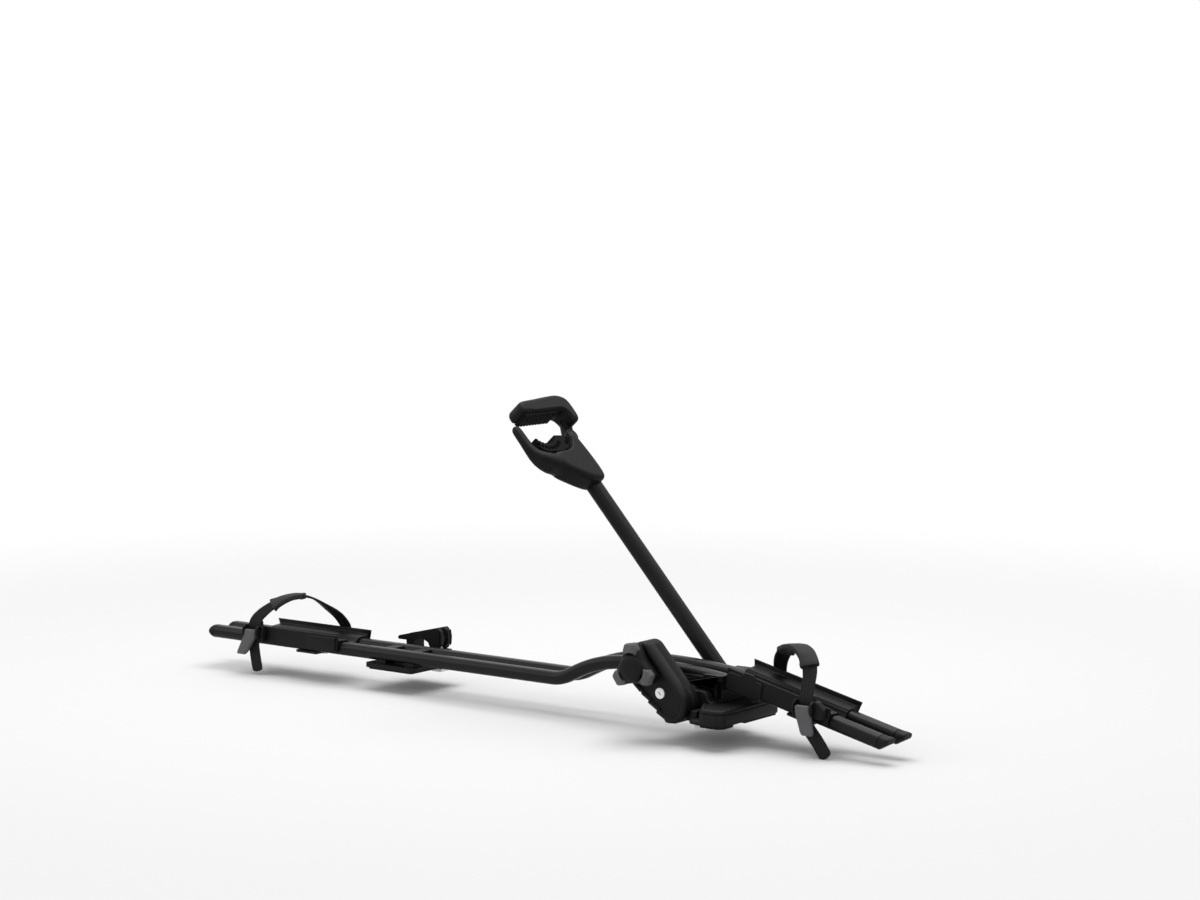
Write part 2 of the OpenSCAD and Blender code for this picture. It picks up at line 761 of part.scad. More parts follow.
// Open tube between outer and inner rings of equal length
module tube_skin(outer, inner) {
    n = len(outer[0]);
    rows = len(outer);
    all_in = rows * n;
    end = (rows - 1) * n;
    polyhedron(
        points = concat([for (r = outer) each r], [for (r = inner) each r]),
        faces = concat(
            [for (i = [0 : rows - 2], k = [0 : n - 1], h = [0, 1])
                let (a = i * n + k, b = i * n + (k + 1) % n)
                h == 0 ? [a, b, a + n] : [b, b + n, a + n]],
            [for (i = [0 : rows - 2], k = [0 : n - 1], h = [0, 1])
                let (a = all_in + i * n + k, b = all_in + i * n + (k + 1) % n)
                h == 0 ? [a, a + n, b] : [b, a + n, b + n]],
            [for (k = [0 : n - 1], h = [0, 1])
                let (a = k, b = (k + 1) % n)
                h == 0 ? [b, a, a + all_in] : [b, a + all_in, b + all_in]],
            [for (k = [0 : n - 1], h = [0, 1])
                let (a = end + k, b = end + (k + 1) % n)
                h == 0 ? [a, b, a + all_in] : [b, b + all_in, a + all_in]]));
}

// Round cable along a list of points, with straight corners rounded by the curve
module tube_along(route, r, per, sides) {
    steps = per * (len(route) - 1);
    skin([for (i = [0 : steps])
              let (f = i / steps, t = tangent_at(route, f),
                   e = abs(t[1]) < 0.8 ? [0, 1, 0] : [1, 0, 0],
                   u = unit(cross(t, e)), v = cross(u, t))
              [for (k = [0 : sides - 1])
                   curve_at(route, f) + r * (cos(360 * k / sides) * u + sin(360 * k / sides) * v)]]);
}

// Knob
module wing(a, r0, r1, w0, w1) {
    rotate(a) ring_outline([[r0, 0, w0], [r1 - w1, 0, w1]]);
}
wing_angles = [for (k = [0 : 2]) wing_turn + 120 * k];
knob_y0 = housing_out + rim_h + knob_gap;
module knob_body() {
    color("#171717") arm_frame() at_knob() rotate([0, arm_lean, 0]) difference() {
        union() {
            across(-knob_y0 - knob_t * 0.8, -knob_y0) {
                circle(20);
                for (a = wing_angles) wing(a, 6, knob_r - 12, 16, 12);
            }
            across(-knob_y0 - knob_t, -knob_y0 - knob_t * 0.8 + eps) circle(16);
        }
        bar_y(knob_shaft_r + eps, -knob_y0 - knob_t * 0.6, -knob_y0 + 1);
    }
}
module knob_tips() {
    color("#606060") arm_frame() at_knob() rotate([0, arm_lean, 0])
        across(-knob_y0 - knob_t * 0.9, -knob_y0) for (a = wing_angles) difference() {
            wing(a, 16, knob_r, 13, 10);
            wing(a, 6, knob_r - 12 + seat_gap, 16 + seat_gap, 12 + seat_gap);
            circle(20 + seat_gap);
        }
}
module knob_shaft() {
    color("#8a8c8e") arm_frame() at_knob() {
        bar_y(knob_shaft_r, -knob_y0 - knob_t * 0.6, -housing_in - 1);
        bar_y(drum_r, -housing_split - 3, -housing_split - 3 + drum_t);
    }
}
module clutch_plate() {
    color("#9a9a9a") arm_frame() at_knob() difference() {
        bar_y(clutch_r, -housing_split - 9, -housing_split - 5);
        bar_y(knob_shaft_r + eps, -housing_split - 10, -housing_split);
    }
}
module clutch_washer() {
    color("#b0b0b0") arm_frame() at_knob() difference() {
        bar_y(clutch_r - 4, -housing_split - 5, -housing_split - 3);
        bar_y(knob_shaft_r + eps, -housing_split - 6, -housing_split);
    }
}

// Frame clamp: a saddle on the arm's top, with a finger on the near side
module saddle_outline(gap = 0) {
    bead_outline(clamp_beads, -gap);
    ring_outline(far_wall_chain, -gap);
}
module ears(gap) {
    ring_outline([[arm_y - 5, tube_s - 28, 10 + gap], [hinge_y, hinge_s, hinge_r + gap]]);
}
module clamp_body() {
    ear_rear = jaw_rear - slide_gap - ear_t;
    ear_front = jaw_front + slide_gap + ear_t;
    collar_len = 22;
    collar_over = 12;
    collar_wall = 2.5;
    color("#171717") arm_frame() difference() {
        union() {
            difference() {
                union() {
                    endwise(clamp_rear, clamp_front) saddle_outline();
                    endwise(finger_rear - 3, finger_front + 4)
                        ring_outline([finger_beads[0], finger_beads[1]]);
                    endwise(finger_rear, finger_front) bead_outline(finger_beads);
                }
                // Room for the jaw's knuckle to turn
                endwise(jaw_rear - slide_gap, jaw_front + slide_gap)
                    translate([hinge_y, hinge_s]) circle(hinge_r + 1);
            }
            endwise(ear_rear, jaw_rear - slide_gap) ears(0);
            endwise(jaw_front + slide_gap, ear_front) ears(0);
            translate([0, arm_y, 0]) upright(arm_len - collar_len, arm_len + collar_over)
                arm_section(-collar_wall);
        }
        translate([0, arm_y, 0]) upright(arm_len - collar_len - 1, arm_len) arm_section(-seat_gap);
        translate([0, arm_y, arm_len - 1]) cylinder(r = cable_r + 1.6, h = cable_end + 5);
        translate([0, hinge_y, hinge_s]) bar_x(jaw_pin_r + eps, clamp_rear - 20, clamp_front + 20);
    }
}
module saddle_pad() {
    pad_end = 1;
    color("#101010") arm_frame() endwise(clamp_rear + pad_end, clamp_front - pad_end) difference() {
        translate([0, tube_s])
            polygon([[-28, -46], [-28, -8], [-18, -8], [0, -24], [24, -10], [46, -14], [57, -6],
                     [arm_y, -6], [arm_y - 3, -18], [44, -42], [12, -46]]);
        translate([0, tube_s]) circle(tube_r + 0.6);
        saddle_outline(seat_gap);
        bead_outline(finger_beads, -seat_gap);
        translate([hinge_y, hinge_s]) circle(hinge_r + 1.5);
    }
}
module jaw_pin() {
    color("#8a8c8e") arm_frame() translate([0, hinge_y, hinge_s])
        bar_x(jaw_pin_r, jaw_rear - slide_gap - ear_t, jaw_front + slide_gap + ear_t);
}
module upper_jaw() {
    color("#171717") arm_frame() difference() {
        union() {
            endwise(jaw_rear, jaw_front)
                bead_outline([[hinge_y, hinge_s, hinge_r], jaw_beads[4]]);
            endwise(clamp_rear, clamp_front) bead_outline([for (k = [0 : 3]) jaw_beads[k]]);
            endwise(clamp_rear + 4, clamp_front - 8) bead_outline([jaw_beads[3], jaw_beads[4]]);
        }
        translate([0, hinge_y, hinge_s])
            bar_x(jaw_pin_r + run_fit, clamp_rear - 1, clamp_front + 1);
    }
}
module upper_jaw_pad() {
    pad_end = 1;
    color("#101010") arm_frame() endwise(clamp_rear + pad_end, clamp_front - pad_end) difference() {
        translate([-11, jaw_seat]) square([80, jaw_pad_t + 4]);
        bead_outline([for (k = [0 : 3]) jaw_beads[k]], -seat_gap);
        translate([-11 - jaw_half, jaw_s]) square([120, jaw_half]);
    }
}

// Wheel trays, drawn across the rails with the rail centres at height 0
module tray_section(floor_h) {
    wall_in = tray_half - tray_wall;
    top = rail_h / 2;
    half = [[7, floor_h], [15, top + 2.5], [wall_in, top + 4], [wall_in, top + tray_rise],
            [tray_half, top + tray_rise], [tray_half, -top + tray_lift], [wall_in, -top + tray_lift],
            [wall_in, top - 6], [rail_pitch / 2, top - 6], [rail_pitch / 2 - 6, floor_h - 3]];
    difference() {
        polygon(concat(half, [for (i = [len(half) - 1 : -1 : 0]) [-half[i][0], half[i][1]]]));
        both_rails(slide_gap);
    }
}
// Clamp under the rails that the tray's screws pull up, along its own X
module tray_clamp(floor_h, length) {
    plate_top = -rail_h / 2 - slide_gap;
    endwise(-length / 2, length / 2) {
        translate([-rail_pitch / 2 - 8, plate_top - clamp_plate_t])
            square([rail_pitch + 16, clamp_plate_t]);
        translate([-5.5, plate_top - eps]) square([11, floor_h - 3 - plate_top]);
    }
}
function tray_screw_spots(length) = [-length / 2 + 8, length / 2 - 8];
module tray_screw(floor_h) {
    low = -rail_h / 2 - slide_gap - clamp_plate_t;
    translate([0, 0, low]) cylinder(r = tray_screw_r, h = floor_h - 0.5 - low);
    translate([0, 0, low - 3]) cylinder(r = tray_screw_r * 2, h = 3);
}
module tray_screw_hole() {
    translate([0, 0, -rail_h]) cylinder(r = tray_screw_r + run_fit, h = 2 * rail_h);
}
tray_clamp_len = 44;
front_clamp_at = path_end(bow_end, [[front_clamp_run, 0]]);
rear_clamp_at = [rear_clamp_x, rail_z, 0];

module front_tray() {
    color("#171717") difference() {
        at_path(front_tray_start) endwise(0, front_tray_back + front_tray_len) tray_section(front_floor);
        at_path(front_clamp_at) for (x = tray_screw_spots(tray_clamp_len))
            translate([x, 0, 0]) tray_screw_hole();
    }
}
module front_tray_clamp() {
    color("#171717") at_path(front_clamp_at) clamp_with_holes(front_floor);
}
module clamp_with_holes(floor_h) {
    difference() {
        tray_clamp(floor_h, tray_clamp_len);
        for (x = tray_screw_spots(tray_clamp_len)) translate([x, 0, 0]) tray_screw_hole();
    }
}
module front_tray_screws() {
    color("#8a8c8e") at_path(front_clamp_at) for (x = tray_screw_spots(tray_clamp_len))
        translate([x, 0, 0]) tray_screw(front_floor);
}
module rear_tray() {
    color("#171717") difference() {
        at_path([rear_tray_x, rail_z, 0]) endwise(0, rear_tray_len) tray_section(rear_floor);
        at_path(rear_clamp_at) for (x = tray_screw_spots(tray_clamp_len))
            translate([x, 0, 0]) tray_screw_hole();
    }
}
module rear_tray_clamp() {
    color("#171717") at_path(rear_clamp_at) clamp_with_holes(rear_floor);
}
module rear_tray_screws() {
    color("#8a8c8e") at_path(rear_clamp_at) for (x = tray_screw_spots(tray_clamp_len))
        translate([x, 0, 0]) tray_screw(rear_floor);
}

// Bare name plates on the near walls
module front_plate() {
    at = path_end(front_tray_start, [[plate_in + plate_len / 2, 0]]);
    color("#171717") at_path(at) across(-tray_half - plate_t, -tray_half) {
        translate([0, 4]) round_rect(plate_len, rail_h + 7, 4);
        translate([6, 14]) circle(12);
    }
}
module rear_plate() {
    color("#171717") at_path([rear_tray_x + rear_tray_len - plate_in - plate_len / 2, rail_z, 0])
        across(-tray_half - plate_t, -tray_half) translate([0, 8]) round_rect(plate_len, rail_h + 1, 3);
}

// Wheel straps
function strap_ring(route, f, w, t) =
    let (p = curve_at(route, f), g = tangent_at(route, f),
         out = [0, p[1], max(p[2] - strap_heart, 0)], n = unit(out - (out * g) * g), b = cross(g, n))
    [for (k = [[-1, -1], [1, -1], [1, 1], [-1, 1]]) p + k[0] * w / 2 * b + k[1] * t / 2 * n];
function strap_rings(route, first, final, w, t) =
    [for (i = [first : final]) strap_ring(route, i / strap_steps, w, t)];
module at_buckle(at) {
    translate([at[0], 0, at[1]]) children();
}
module strap_sleeve(route, sleeve_last) {
    room = 2 * strap_gap;
    color("#3c3c3c")
        tube_skin(strap_rings(route, sleeve_first, sleeve_last, strap_w + room + 2 * sleeve_t,
                              strap_t + room + 2 * sleeve_t),
                  strap_rings(route, sleeve_first, sleeve_last, strap_w + room, strap_t + room));
}
module front_strap() {
    color("#141414") at_buckle(front_buckle_at)
        skin(strap_rings(front_strap_route, 0, strap_steps, strap_w, strap_t));
}
module rear_strap() {
    color("#141414") at_buckle(rear_buckle_at)
        skin(strap_rings(rear_strap_route, 0, strap_steps, strap_w, strap_t));
}
module front_rim_sleeve() { at_buckle(front_buckle_at) strap_sleeve(front_strap_route, front_sleeve_last); }
module rear_rim_sleeve() { at_buckle(rear_buckle_at) strap_sleeve(rear_strap_route, rear_sleeve_last); }

// Bridge on the far wall that holds the strap's fixed end
module strap_anchor(at, up) {
    leg = 3;
    depth = strap_t + 2 * strap_gap + buckle_base_t;
    color("#171717") translate([at[0], tray_half, at[1] + up]) {
        for (side = [-1, 1])
            translate([side * (strap_w / 2 + 0.8 + leg / 2) - leg / 2, 0, -7]) cube([leg, depth, 14]);
        translate([-strap_w / 2 - 0.8 - leg, depth, -7]) cube([strap_w + 1.6 + 2 * leg, 3, 14]);
        translate([-strap_w / 2 - 0.8 - leg, 0, -7])
            cube([strap_w + 1.6 + 2 * leg, buckle_base_t, 14]);
    }
}
module front_strap_anchor() {
    strap_anchor([front_buckle_at[0] + last(front_strap_route)[0], front_anchor_at[1]], anchor_up);
}
module rear_strap_anchor() {
    strap_anchor([rear_buckle_at[0] + last(rear_strap_route)[0], rail_z], anchor_up);
}

// Buckles: a base on the near wall with two cheeks, a pin and a lever
module buckle_frame(at) {
    translate([at[0], -tray_half, at[1] + 3]) children();
}
module buckle_base(at) {
    cheek_y = buckle_pin_y + 4;
    color("#171717") buckle_frame(at) {
        difference() {
            union() {
                translate([-buckle_w / 2, -buckle_base_t, -buckle_low])
                    cube([buckle_w, buckle_base_t, buckle_low + buckle_high]);
                for (side = [-1, 1])
                    translate([side * (buckle_w / 2 - cheek_t / 2), 0, 0])
                        endwise(-cheek_t / 2, cheek_t / 2) {
                            translate([-cheek_y + 4, buckle_pin_z - 6]) square([cheek_y - 4, 12]);
                            translate([-buckle_pin_y, buckle_pin_z]) circle(6);
                        }
            }
            translate([0, -buckle_pin_y, buckle_pin_z])
                bar_x(buckle_pin_r + eps, -buckle_w, buckle_w);
        }
    }
}
module buckle_pin(at) {
    color("#8a8c8e") buckle_frame(at) translate([0, -buckle_pin_y, buckle_pin_z])
        bar_x(buckle_pin_r, -buckle_w / 2, buckle_w / 2);
}
module buckle_lever(at) {
    w = buckle_w - 2 * cheek_t - 0.8;
    color("#606060") buckle_frame(at) translate([0, -buckle_pin_y, buckle_pin_z]) difference() {
        union() {
            bar_x(buckle_lever_t, -w / 2, w / 2);
            endwise(-w / 2, w / 2)
                polygon([[3, 0], [1.3, -buckle_lever_len / 2],
                         [-2, -buckle_lever_len + buckle_lever_t],
                         [-6.2, -buckle_lever_len + buckle_lever_t],
                         [-4.6, -buckle_lever_len / 2], [-3.6, 0]]);
        }
        bar_x(buckle_pin_r + run_fit, -w, w);
    }
}
module front_buckle() { buckle_base(front_buckle_at); }
module front_buckle_pin() { buckle_pin(front_buckle_at); }
module front_buckle_lever() { buckle_lever(front_buckle_at); }
module rear_buckle() { buckle_base(rear_buckle_at); }
module rear_buckle_pin() { buckle_pin(rear_buckle_at); }
module rear_buckle_lever() { buckle_lever(rear_buckle_at); }

// Rear foot: a plate under the rails, with a key between them and a cam lever beside them
module rear_foot() {
    plate_top = pad_t + rear_plate_t;
    block_top = cam_z - cam_r - 0.3;
    seat_len = 18;
    color("#171717") difference() {
        union() {
            upright(pad_t, plate_top)
                translate([rear_foot_x + rear_foot_len / 2, (rear_foot_near + rear_foot_far) / 2])
                    round_rect(rear_foot_len, rear_foot_far - rear_foot_near, 10);
            // Seats under the rails and the key between them
            for (x = [rear_foot_x + 22, rear_foot_x + rear_foot_len - seat_len - 4])
                endwise(x, x + seat_len) translate([0, rail_z]) difference() {
                    union() {
                        translate([-rail_pitch / 2 - 10, plate_top - rail_z - eps])
                            square([rail_pitch + 20, 8]);
                        translate([-15, plate_top - rail_z]) square([30, rail_z - plate_top + 9]);
                    }
                    both_rails(slide_gap);
                }
            // Block under the cam and the post under the lever's handle
            translate([slot_x - 20, lever_y - lever_w / 2, plate_top - eps])
                cube([34, lever_w, block_top - plate_top]);
            translate([post_x - 8, lever_y - lever_w / 2, plate_top - eps])
                cube([16, lever_w, lever_rest - plate_top - 0.3]);
        }
        translate([slot_x, lever_y, 0]) cylinder(r = bolt_r + 0.5, h = cam_z);
    }
}
module rear_foot_pad() {
    color("#0e0e0e") upright(0, pad_t)
        translate([rear_foot_x + rear_foot_len / 2, (rear_foot_near + lever_y - 16) / 2])
            round_rect(rear_foot_len - 10, lever_y - 16 - rear_foot_near - 8, 6);
}
module rear_slot_bolt() {
    color("#8a8c8e") translate([slot_x, lever_y, 0]) slot_bolt(cam_z + lever_pin_r + 2);
}
module lever_pin() {
    color("#8a8c8e") translate([slot_x, lever_y, cam_z]) difference() {
        bar_y(lever_pin_r, -lever_w / 2 + lever_cheek + slide_gap, lever_w / 2);
        translate([0, 0, -lever_pin_r - 1]) cylinder(r = bolt_r + eps, h = 2 * lever_pin_r + 2);
    }
}
module rear_lever() {
    rest = lever_rest - cam_z;
    tip_t = 3.4;
    nose = [cam_r * 0.66, cam_r * 0.8];
    color("#171717") translate([slot_x, lever_y, cam_z]) difference() {
        union() {
            bar_y(cam_r, -lever_w / 2, lever_w / 2);
            across(-lever_w / 2, lever_w / 2)
                polygon([[-lever_len, rest], [-lever_len + tip_t, rest + tip_t],
                         [cam_r * 0.3, cam_r + 1], nose, [nose[0], 0], [-cam_r - 4, rest]]);
        }
        // The pin's bore is closed on the side of the rails
        bar_y(lever_pin_r + run_fit, -lever_w / 2 + lever_cheek, lever_w);
        // Fork round the slot bolt
        translate([-cam_r - 3, -fork_gap / 2, -cam_r - 2])
            cube([2 * cam_r + 6, fork_gap, 2 * cam_r + 4]);
    }
}

rail(-1);  // rail_near
rail(1);  // rail_far
rear_rail_caps();
front_rail_caps();
base_shoe();
base_pads();
rail_bracket();
bracket_screws();
near_bush();
far_bush();
front_slot_bolts();
front_slot_nuts();
front_tray();
front_plate();
front_tray_clamp();
front_tray_screws();
front_strap();
front_rim_sleeve();
front_strap_anchor();
front_buckle();
front_buckle_pin();
front_buckle_lever();
pivot_shaft();
arm_knuckle();
arm_tube();
housing_shell();
housing_back();
housing_screws();
clamp_body();
saddle_pad();
jaw_pin();
drive_cable();
lock_barrel();
lock_plug();
knob_body();
knob_tips();
knob_shaft();
clutch_plate();
clutch_washer();
upper_jaw();
upper_jaw_pad();
rear_foot();
rear_foot_pad();
rear_slot_bolt();
lever_pin();
rear_lever();
rear_tray();
rear_plate();
rear_tray_clamp();
rear_tray_screws();
rear_strap();
rear_rim_sleeve();
rear_strap_anchor();
rear_buckle();
rear_buckle_pin();
rear_buckle_lever();
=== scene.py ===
"""Roof mounted bike carrier: the looks, built round its fixed frame.

Shapes are worked out in millimetres in the frame of the part, and become metres in solid_mesh().
+X points to the front of the car, +Y away from the knob side, +Z up.
"""
import json
import math

import bmesh
import bpy
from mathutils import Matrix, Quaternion, Vector


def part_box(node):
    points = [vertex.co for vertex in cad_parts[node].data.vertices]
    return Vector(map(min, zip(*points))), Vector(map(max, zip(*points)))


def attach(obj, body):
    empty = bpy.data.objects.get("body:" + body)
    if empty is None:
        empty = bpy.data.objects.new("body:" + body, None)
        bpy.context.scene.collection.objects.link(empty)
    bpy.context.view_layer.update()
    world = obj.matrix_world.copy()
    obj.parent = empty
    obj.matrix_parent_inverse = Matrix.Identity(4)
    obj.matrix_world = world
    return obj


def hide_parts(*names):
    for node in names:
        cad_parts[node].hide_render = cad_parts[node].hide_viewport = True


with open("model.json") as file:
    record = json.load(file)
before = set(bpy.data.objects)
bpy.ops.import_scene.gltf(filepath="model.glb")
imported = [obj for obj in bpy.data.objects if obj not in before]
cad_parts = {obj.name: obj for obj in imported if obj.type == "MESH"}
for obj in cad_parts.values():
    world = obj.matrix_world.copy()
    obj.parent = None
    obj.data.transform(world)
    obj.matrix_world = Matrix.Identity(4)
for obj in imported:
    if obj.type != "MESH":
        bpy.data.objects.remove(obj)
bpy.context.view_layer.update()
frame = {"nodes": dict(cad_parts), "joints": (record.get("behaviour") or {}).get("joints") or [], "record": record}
NODES = frame["nodes"]
JOINTS = {joint["name"]: joint for joint in frame["joints"]}
MM = 0.001
WELD_GAP = 1e-6


# Sizes that the looks share with the part, in millimetres

RAIL_W, RAIL_H, RAIL_R, RAIL_WALL = 24, 21, 9, 2
RAIL_PITCH = 46
RAIL_Z = 24.5
HUMP_ANGLE, HUMP_R_LOW, HUMP_R_TOP, HUMP_LEN = 26, 70, 220, 22
CREST_LEN = 48
BOW_X, BOW_R, BOW_ANGLE = -110, 990, 13.2
REAR_CAP_LEN, FRONT_CAP_LEN, CAP_HOLE_R = 14, 18, 1.7

TRAY_HALF, TRAY_WALL, TRAY_RISE, TRAY_LIFT = 40, 4, 12, 5
FRONT_FLOOR, REAR_FLOOR = 1, 7
PLATE_T, PLATE_LEN, PLATE_IN = 3, 62, 3
SHOE_BACK, SHOE_FRONT, SHOE_NEAR, SHOE_FAR, SHOE_R = 3, 68, 108, 50, 14
SHOE_LOW, SHOE_TOP, SHOE_PART = 3, 27, 20.8
BLOCK_REAR, BLOCK_NEAR, BLOCK_FAR, BOSS_R, BUSH_R, HUB_R = -60, -60, 51, 18, 14.55, 26
BOLT_Y = 54
NUT_CAP_R = 6.9
# The hollow beside the pivot, which the housing's round end turns in
SCOOP_R = 29
STRAP_W, STRAP_T, STRAP_GAP = 22, 3.5, 0.5
SLEEVE_WALL = 2.5
STRAP_OFF = TRAY_HALF + 3 + STRAP_GAP + STRAP_T / 2
STRAP_HEART = 22
FRONT_STRAP_ROUTE = [
    (38, -STRAP_OFF - 3, -56), (21, -STRAP_OFF - 2, -34), (4, -STRAP_OFF - 1, -14),
    (0, -STRAP_OFF, 6), (0, -STRAP_OFF, 24), (-2, -37, 42), (-6, -26, 62),
    (-18, -14, 81), (-38, -2, 90), (-60, 8, 88), (-78, 19, 78), (-92, 31, 66),
    (-101, 41, 54), (-104, STRAP_OFF, 42), (-104, STRAP_OFF, 32), (-104, STRAP_OFF, 22)]
REAR_STRAP_ROUTE = [
    (10, -STRAP_OFF - 3, -53), (5, -STRAP_OFF - 3, -30), (1, -STRAP_OFF - 2, -10),
    (0, -STRAP_OFF, 6), (0, -STRAP_OFF, 26), (8, -38, 41), (24, -24, 57),
    (42, -10, 68), (59, 1, 72), (78, 12, 69), (98, 24, 55), (114, 36, 40),
    (122, STRAP_OFF, 22), (122, STRAP_OFF, 10), (122, STRAP_OFF, 0)]
STRAP_STEPS = 45
FRONT_SLEEVE_SPAN = (19 / STRAP_STEPS, 30 / STRAP_STEPS)
REAR_SLEEVE_SPAN = (19 / STRAP_STEPS, 27 / STRAP_STEPS)
BUCKLE_W = STRAP_W + 9.5
CHEEK_T = 2.4
# The lever ends this far over its pin, so that it swings clear of the strap
LEVER_TOP = 4.2
LEVER_BORE_R, CAM_BORE_R = 2.05, 6.05

HOUSING_IN, HOUSING_T = 62, 38
HOUSING_OUT = HOUSING_IN + HOUSING_T
KNOB_S = 76
HOUSING_CHAIN = [(0, 0, 27), (9, KNOB_S + 13, 18), (-23, KNOB_S + 19, 12), (-25, KNOB_S - 6, 10.5)]
KNOB_R, KNOB_T = 37, 24
KNOB_Y = HOUSING_OUT + 4
LOCK_BORE_R = 8.05
WING_TURN = 96

TUBE_S, TUBE_R = 498, 26
CLAMP_REAR, CLAMP_FRONT = -11, 24
FUSE_VOXEL = 1.1
ARM_Y, ARM_W, ARM_D, ARM_R, ARM_LEN = 65, 25, 22, 9, 420
HINGE_Y, HINGE_V, HINGE_R = 84, -10, 12


# Frames

def joint_place(name):
    """A joint's place in millimetres."""
    return Vector(JOINTS[name]["pos_m"]) / MM


PIVOT = joint_place("arm_fold")
ARM_T = -Vector(JOINTS["jaw_swing"]["axis"])
ARM_S = Vector((-ARM_T.z, 0, ARM_T.x))


def arm_point(t, y, s):
    """A point of the arm's frame: t square to the arm, y across the car, s up along the arm."""
    p = PIVOT + t * ARM_T + s * ARM_S
    return Vector((p.x, y, p.z))


def clamp_point(y, v, t):
    """A point of the frame clamp: y across, v up the arm from the bike tube's middle, t along it."""
    return arm_point(t, y, TUBE_S + v)


# Outlines and curves

def spline(a, b, c, d, per):
    """Points of a smooth curve from b up to c, with a before them and d after."""
    return [0.5 * (2 * b + (c - a) * u + (2 * a - 5 * b + 4 * c - d) * u * u
                   + (3 * b - a - 3 * c + d) * u ** 3) for u in [k / per for k in range(per)]]


def blend_curve(points, per):
    """Points of a smooth open curve through the given ones."""
    points = [Vector(p) for p in points]
    last = len(points) - 1
    out = []
    for i in range(last):
        out += spline(points[max(i - 1, 0)], points[i], points[i + 1], points[min(i + 2, last)], per)
    return out + [points[-1]]


def smooth_loop(points, per):
    """Points of a smooth closed curve through the given ones."""
    n = len(points)
    points = [Vector(p) for p in points]
    out = []
    for i in range(n):
        out += spline(points[i - 1], points[i], points[(i + 1) % n], points[(i + 2) % n], per)
    return out


def rounded_loop(corners, steps=6):
    """A closed outline of straight edges with a fillet at each corner (x, y, radius)."""
    n = len(corners)
    out = []
    for i in range(n):
        p = Vector(corners[i][:2])
        r = corners[i][2]
        before = (Vector(corners[i - 1][:2]) - p).normalized()
        after = (Vector(corners[(i + 1) % n][:2]) - p).normalized()
        half = math.acos(max(-1, min(1, before.dot(after)))) / 2
        if r <= 0 or half > math.radians(89.5):
            out.append(p)
            continue
        run = r / math.tan(half)
        middle = p + (before + after).normalized() * (r / math.sin(half))
        a, b = p + before * run - middle, p + after * run - middle
        turn = math.atan2(a.x * b.y - a.y * b.x, a.dot(b))
        for k in range(steps + 1):
            angle = turn * k / steps
            c, s = math.cos(angle), math.sin(angle)
            out.append(middle + Vector((a.x * c - a.y * s, a.x * s + a.y * c)))
    return out


def box_loop(w, h, r, steps):
    """A rounded rectangle about the middle."""
    x, y = w / 2, h / 2
    return rounded_loop([(x, y, r), (-x, y, r), (-x, -y, r), (x, -y, r)], steps)


def chain_loop(circles, inset=0, arc_steps=14, edge_steps=14):
    """Rounded outline stretched over a convex ring of circles (x, y, radius), anticlockwise."""
    n = len(circles)
    turns = []
    for i in range(n):
        a, b = circles[i], circles[(i + 1) % n]
        d = Vector((b[0] - a[0], b[1] - a[1]))
        turns.append(math.atan2(d.y, d.x) - math.pi / 2 + math.asin((a[2] - b[2]) / d.length))
    out = []
    for i in range(n):
        x, y, r = circles[i]
        start, end = turns[i - 1], turns[i]
        while end < start:
            end += 2 * math.pi
        for k in range(arc_steps + 1):
            angle = start + (end - start) * k / arc_steps
            out.append(Vector((x + (r - inset) * math.cos(angle), y + (r - inset) * math.sin(angle))))
        nx, ny, nr = circles[(i + 1) % n]
        goal = Vector((nx + (nr - inset) * math.cos(end), ny + (nr - inset) * math.sin(end)))
        here = out[-1].copy()
        out += [here.lerp(goal, k / edge_steps) for k in range(1, edge_steps)]
    return out


def inset_loop(loop, inset):
    """The outline moved inwards, point by point (an anticlockwise loop)."""
    n = len(loop)
    out = []
    for i in range(n):
        a = (loop[i] - loop[i - 1]).normalized()
        b = (loop[(i + 1) % n] - loop[i]).normalized()
        na, nb = Vector((-a.y, a.x)), Vector((-b.y, b.x))
        normal = (na + nb).normalized()
        out.append(loop[i] + normal * inset / max(0.5, normal.dot(na)))
    return out


def quarter(depth, towards, r, steps=5, inset=0):
    """Levels (inset, depth) of a rounded edge that ends at depth, towards being its side, 1 or -1."""
    return [(inset + r * (1 - math.cos(a)), depth - towards * r * (1 - math.sin(a)))
            for a in [math.pi / 2 * k / steps for k in range(steps + 1)]]


def both_edges(low, high, r_low, r_high, steps=5):
    """Levels of a slab with rounded edges at both of its faces."""
    return list(reversed(quarter(low, -1, r_low, steps))) + quarter(high, 1, r_high, steps)


# Meshes

def loft(rings, start_cap=True, end_cap=True):
    """Skin over rings of equal length, as (points, faces)."""
    n = len(rings[0])
    points = [p for ring in rings for p in ring]
    faces = [(i * n + k, i * n + (k + 1) % n, (i + 1) * n + (k + 1) % n, (i + 1) * n + k)
             for i in range(len(rings) - 1) for k in range(n)]
    if start_cap:
        faces.append(tuple(reversed(range(n))))
    if end_cap:
        faces.append(tuple(range((len(rings) - 1) * n, len(rings) * n)))
    return points, faces


def pillow(loop, levels, place):
    """A slab over an outline: levels are (inset, depth), and place puts (u, v, depth) in space."""
    return loft([[place(p.x, p.y, depth) for p in inset_loop(loop, inset)] for inset, depth in levels])


def tube_skin(outer, inner):
    """An open tube between outer and inner rings, closed at its ends."""
    n, rows = len(outer[0]), len(outer)
    points = [p for ring in outer + inner for p in ring]
    far = rows * n
    faces = []
    for i in range(rows - 1):
        for k in range(n):
            a, b = i * n + k, i * n + (k + 1) % n
            faces.append((a, b, b + n, a + n))
            faces.append((a + far, a + n + far, b + n + far, b + far))
    for row, flip in ((0, True), (rows - 1, False)):
        for k in range(n):
            a, b = row * n + k, row * n + (k + 1) % n
            ring = (a, b, b + far, a + far)
            faces.append(tuple(reversed(ring)) if flip else ring)
    return points, faces


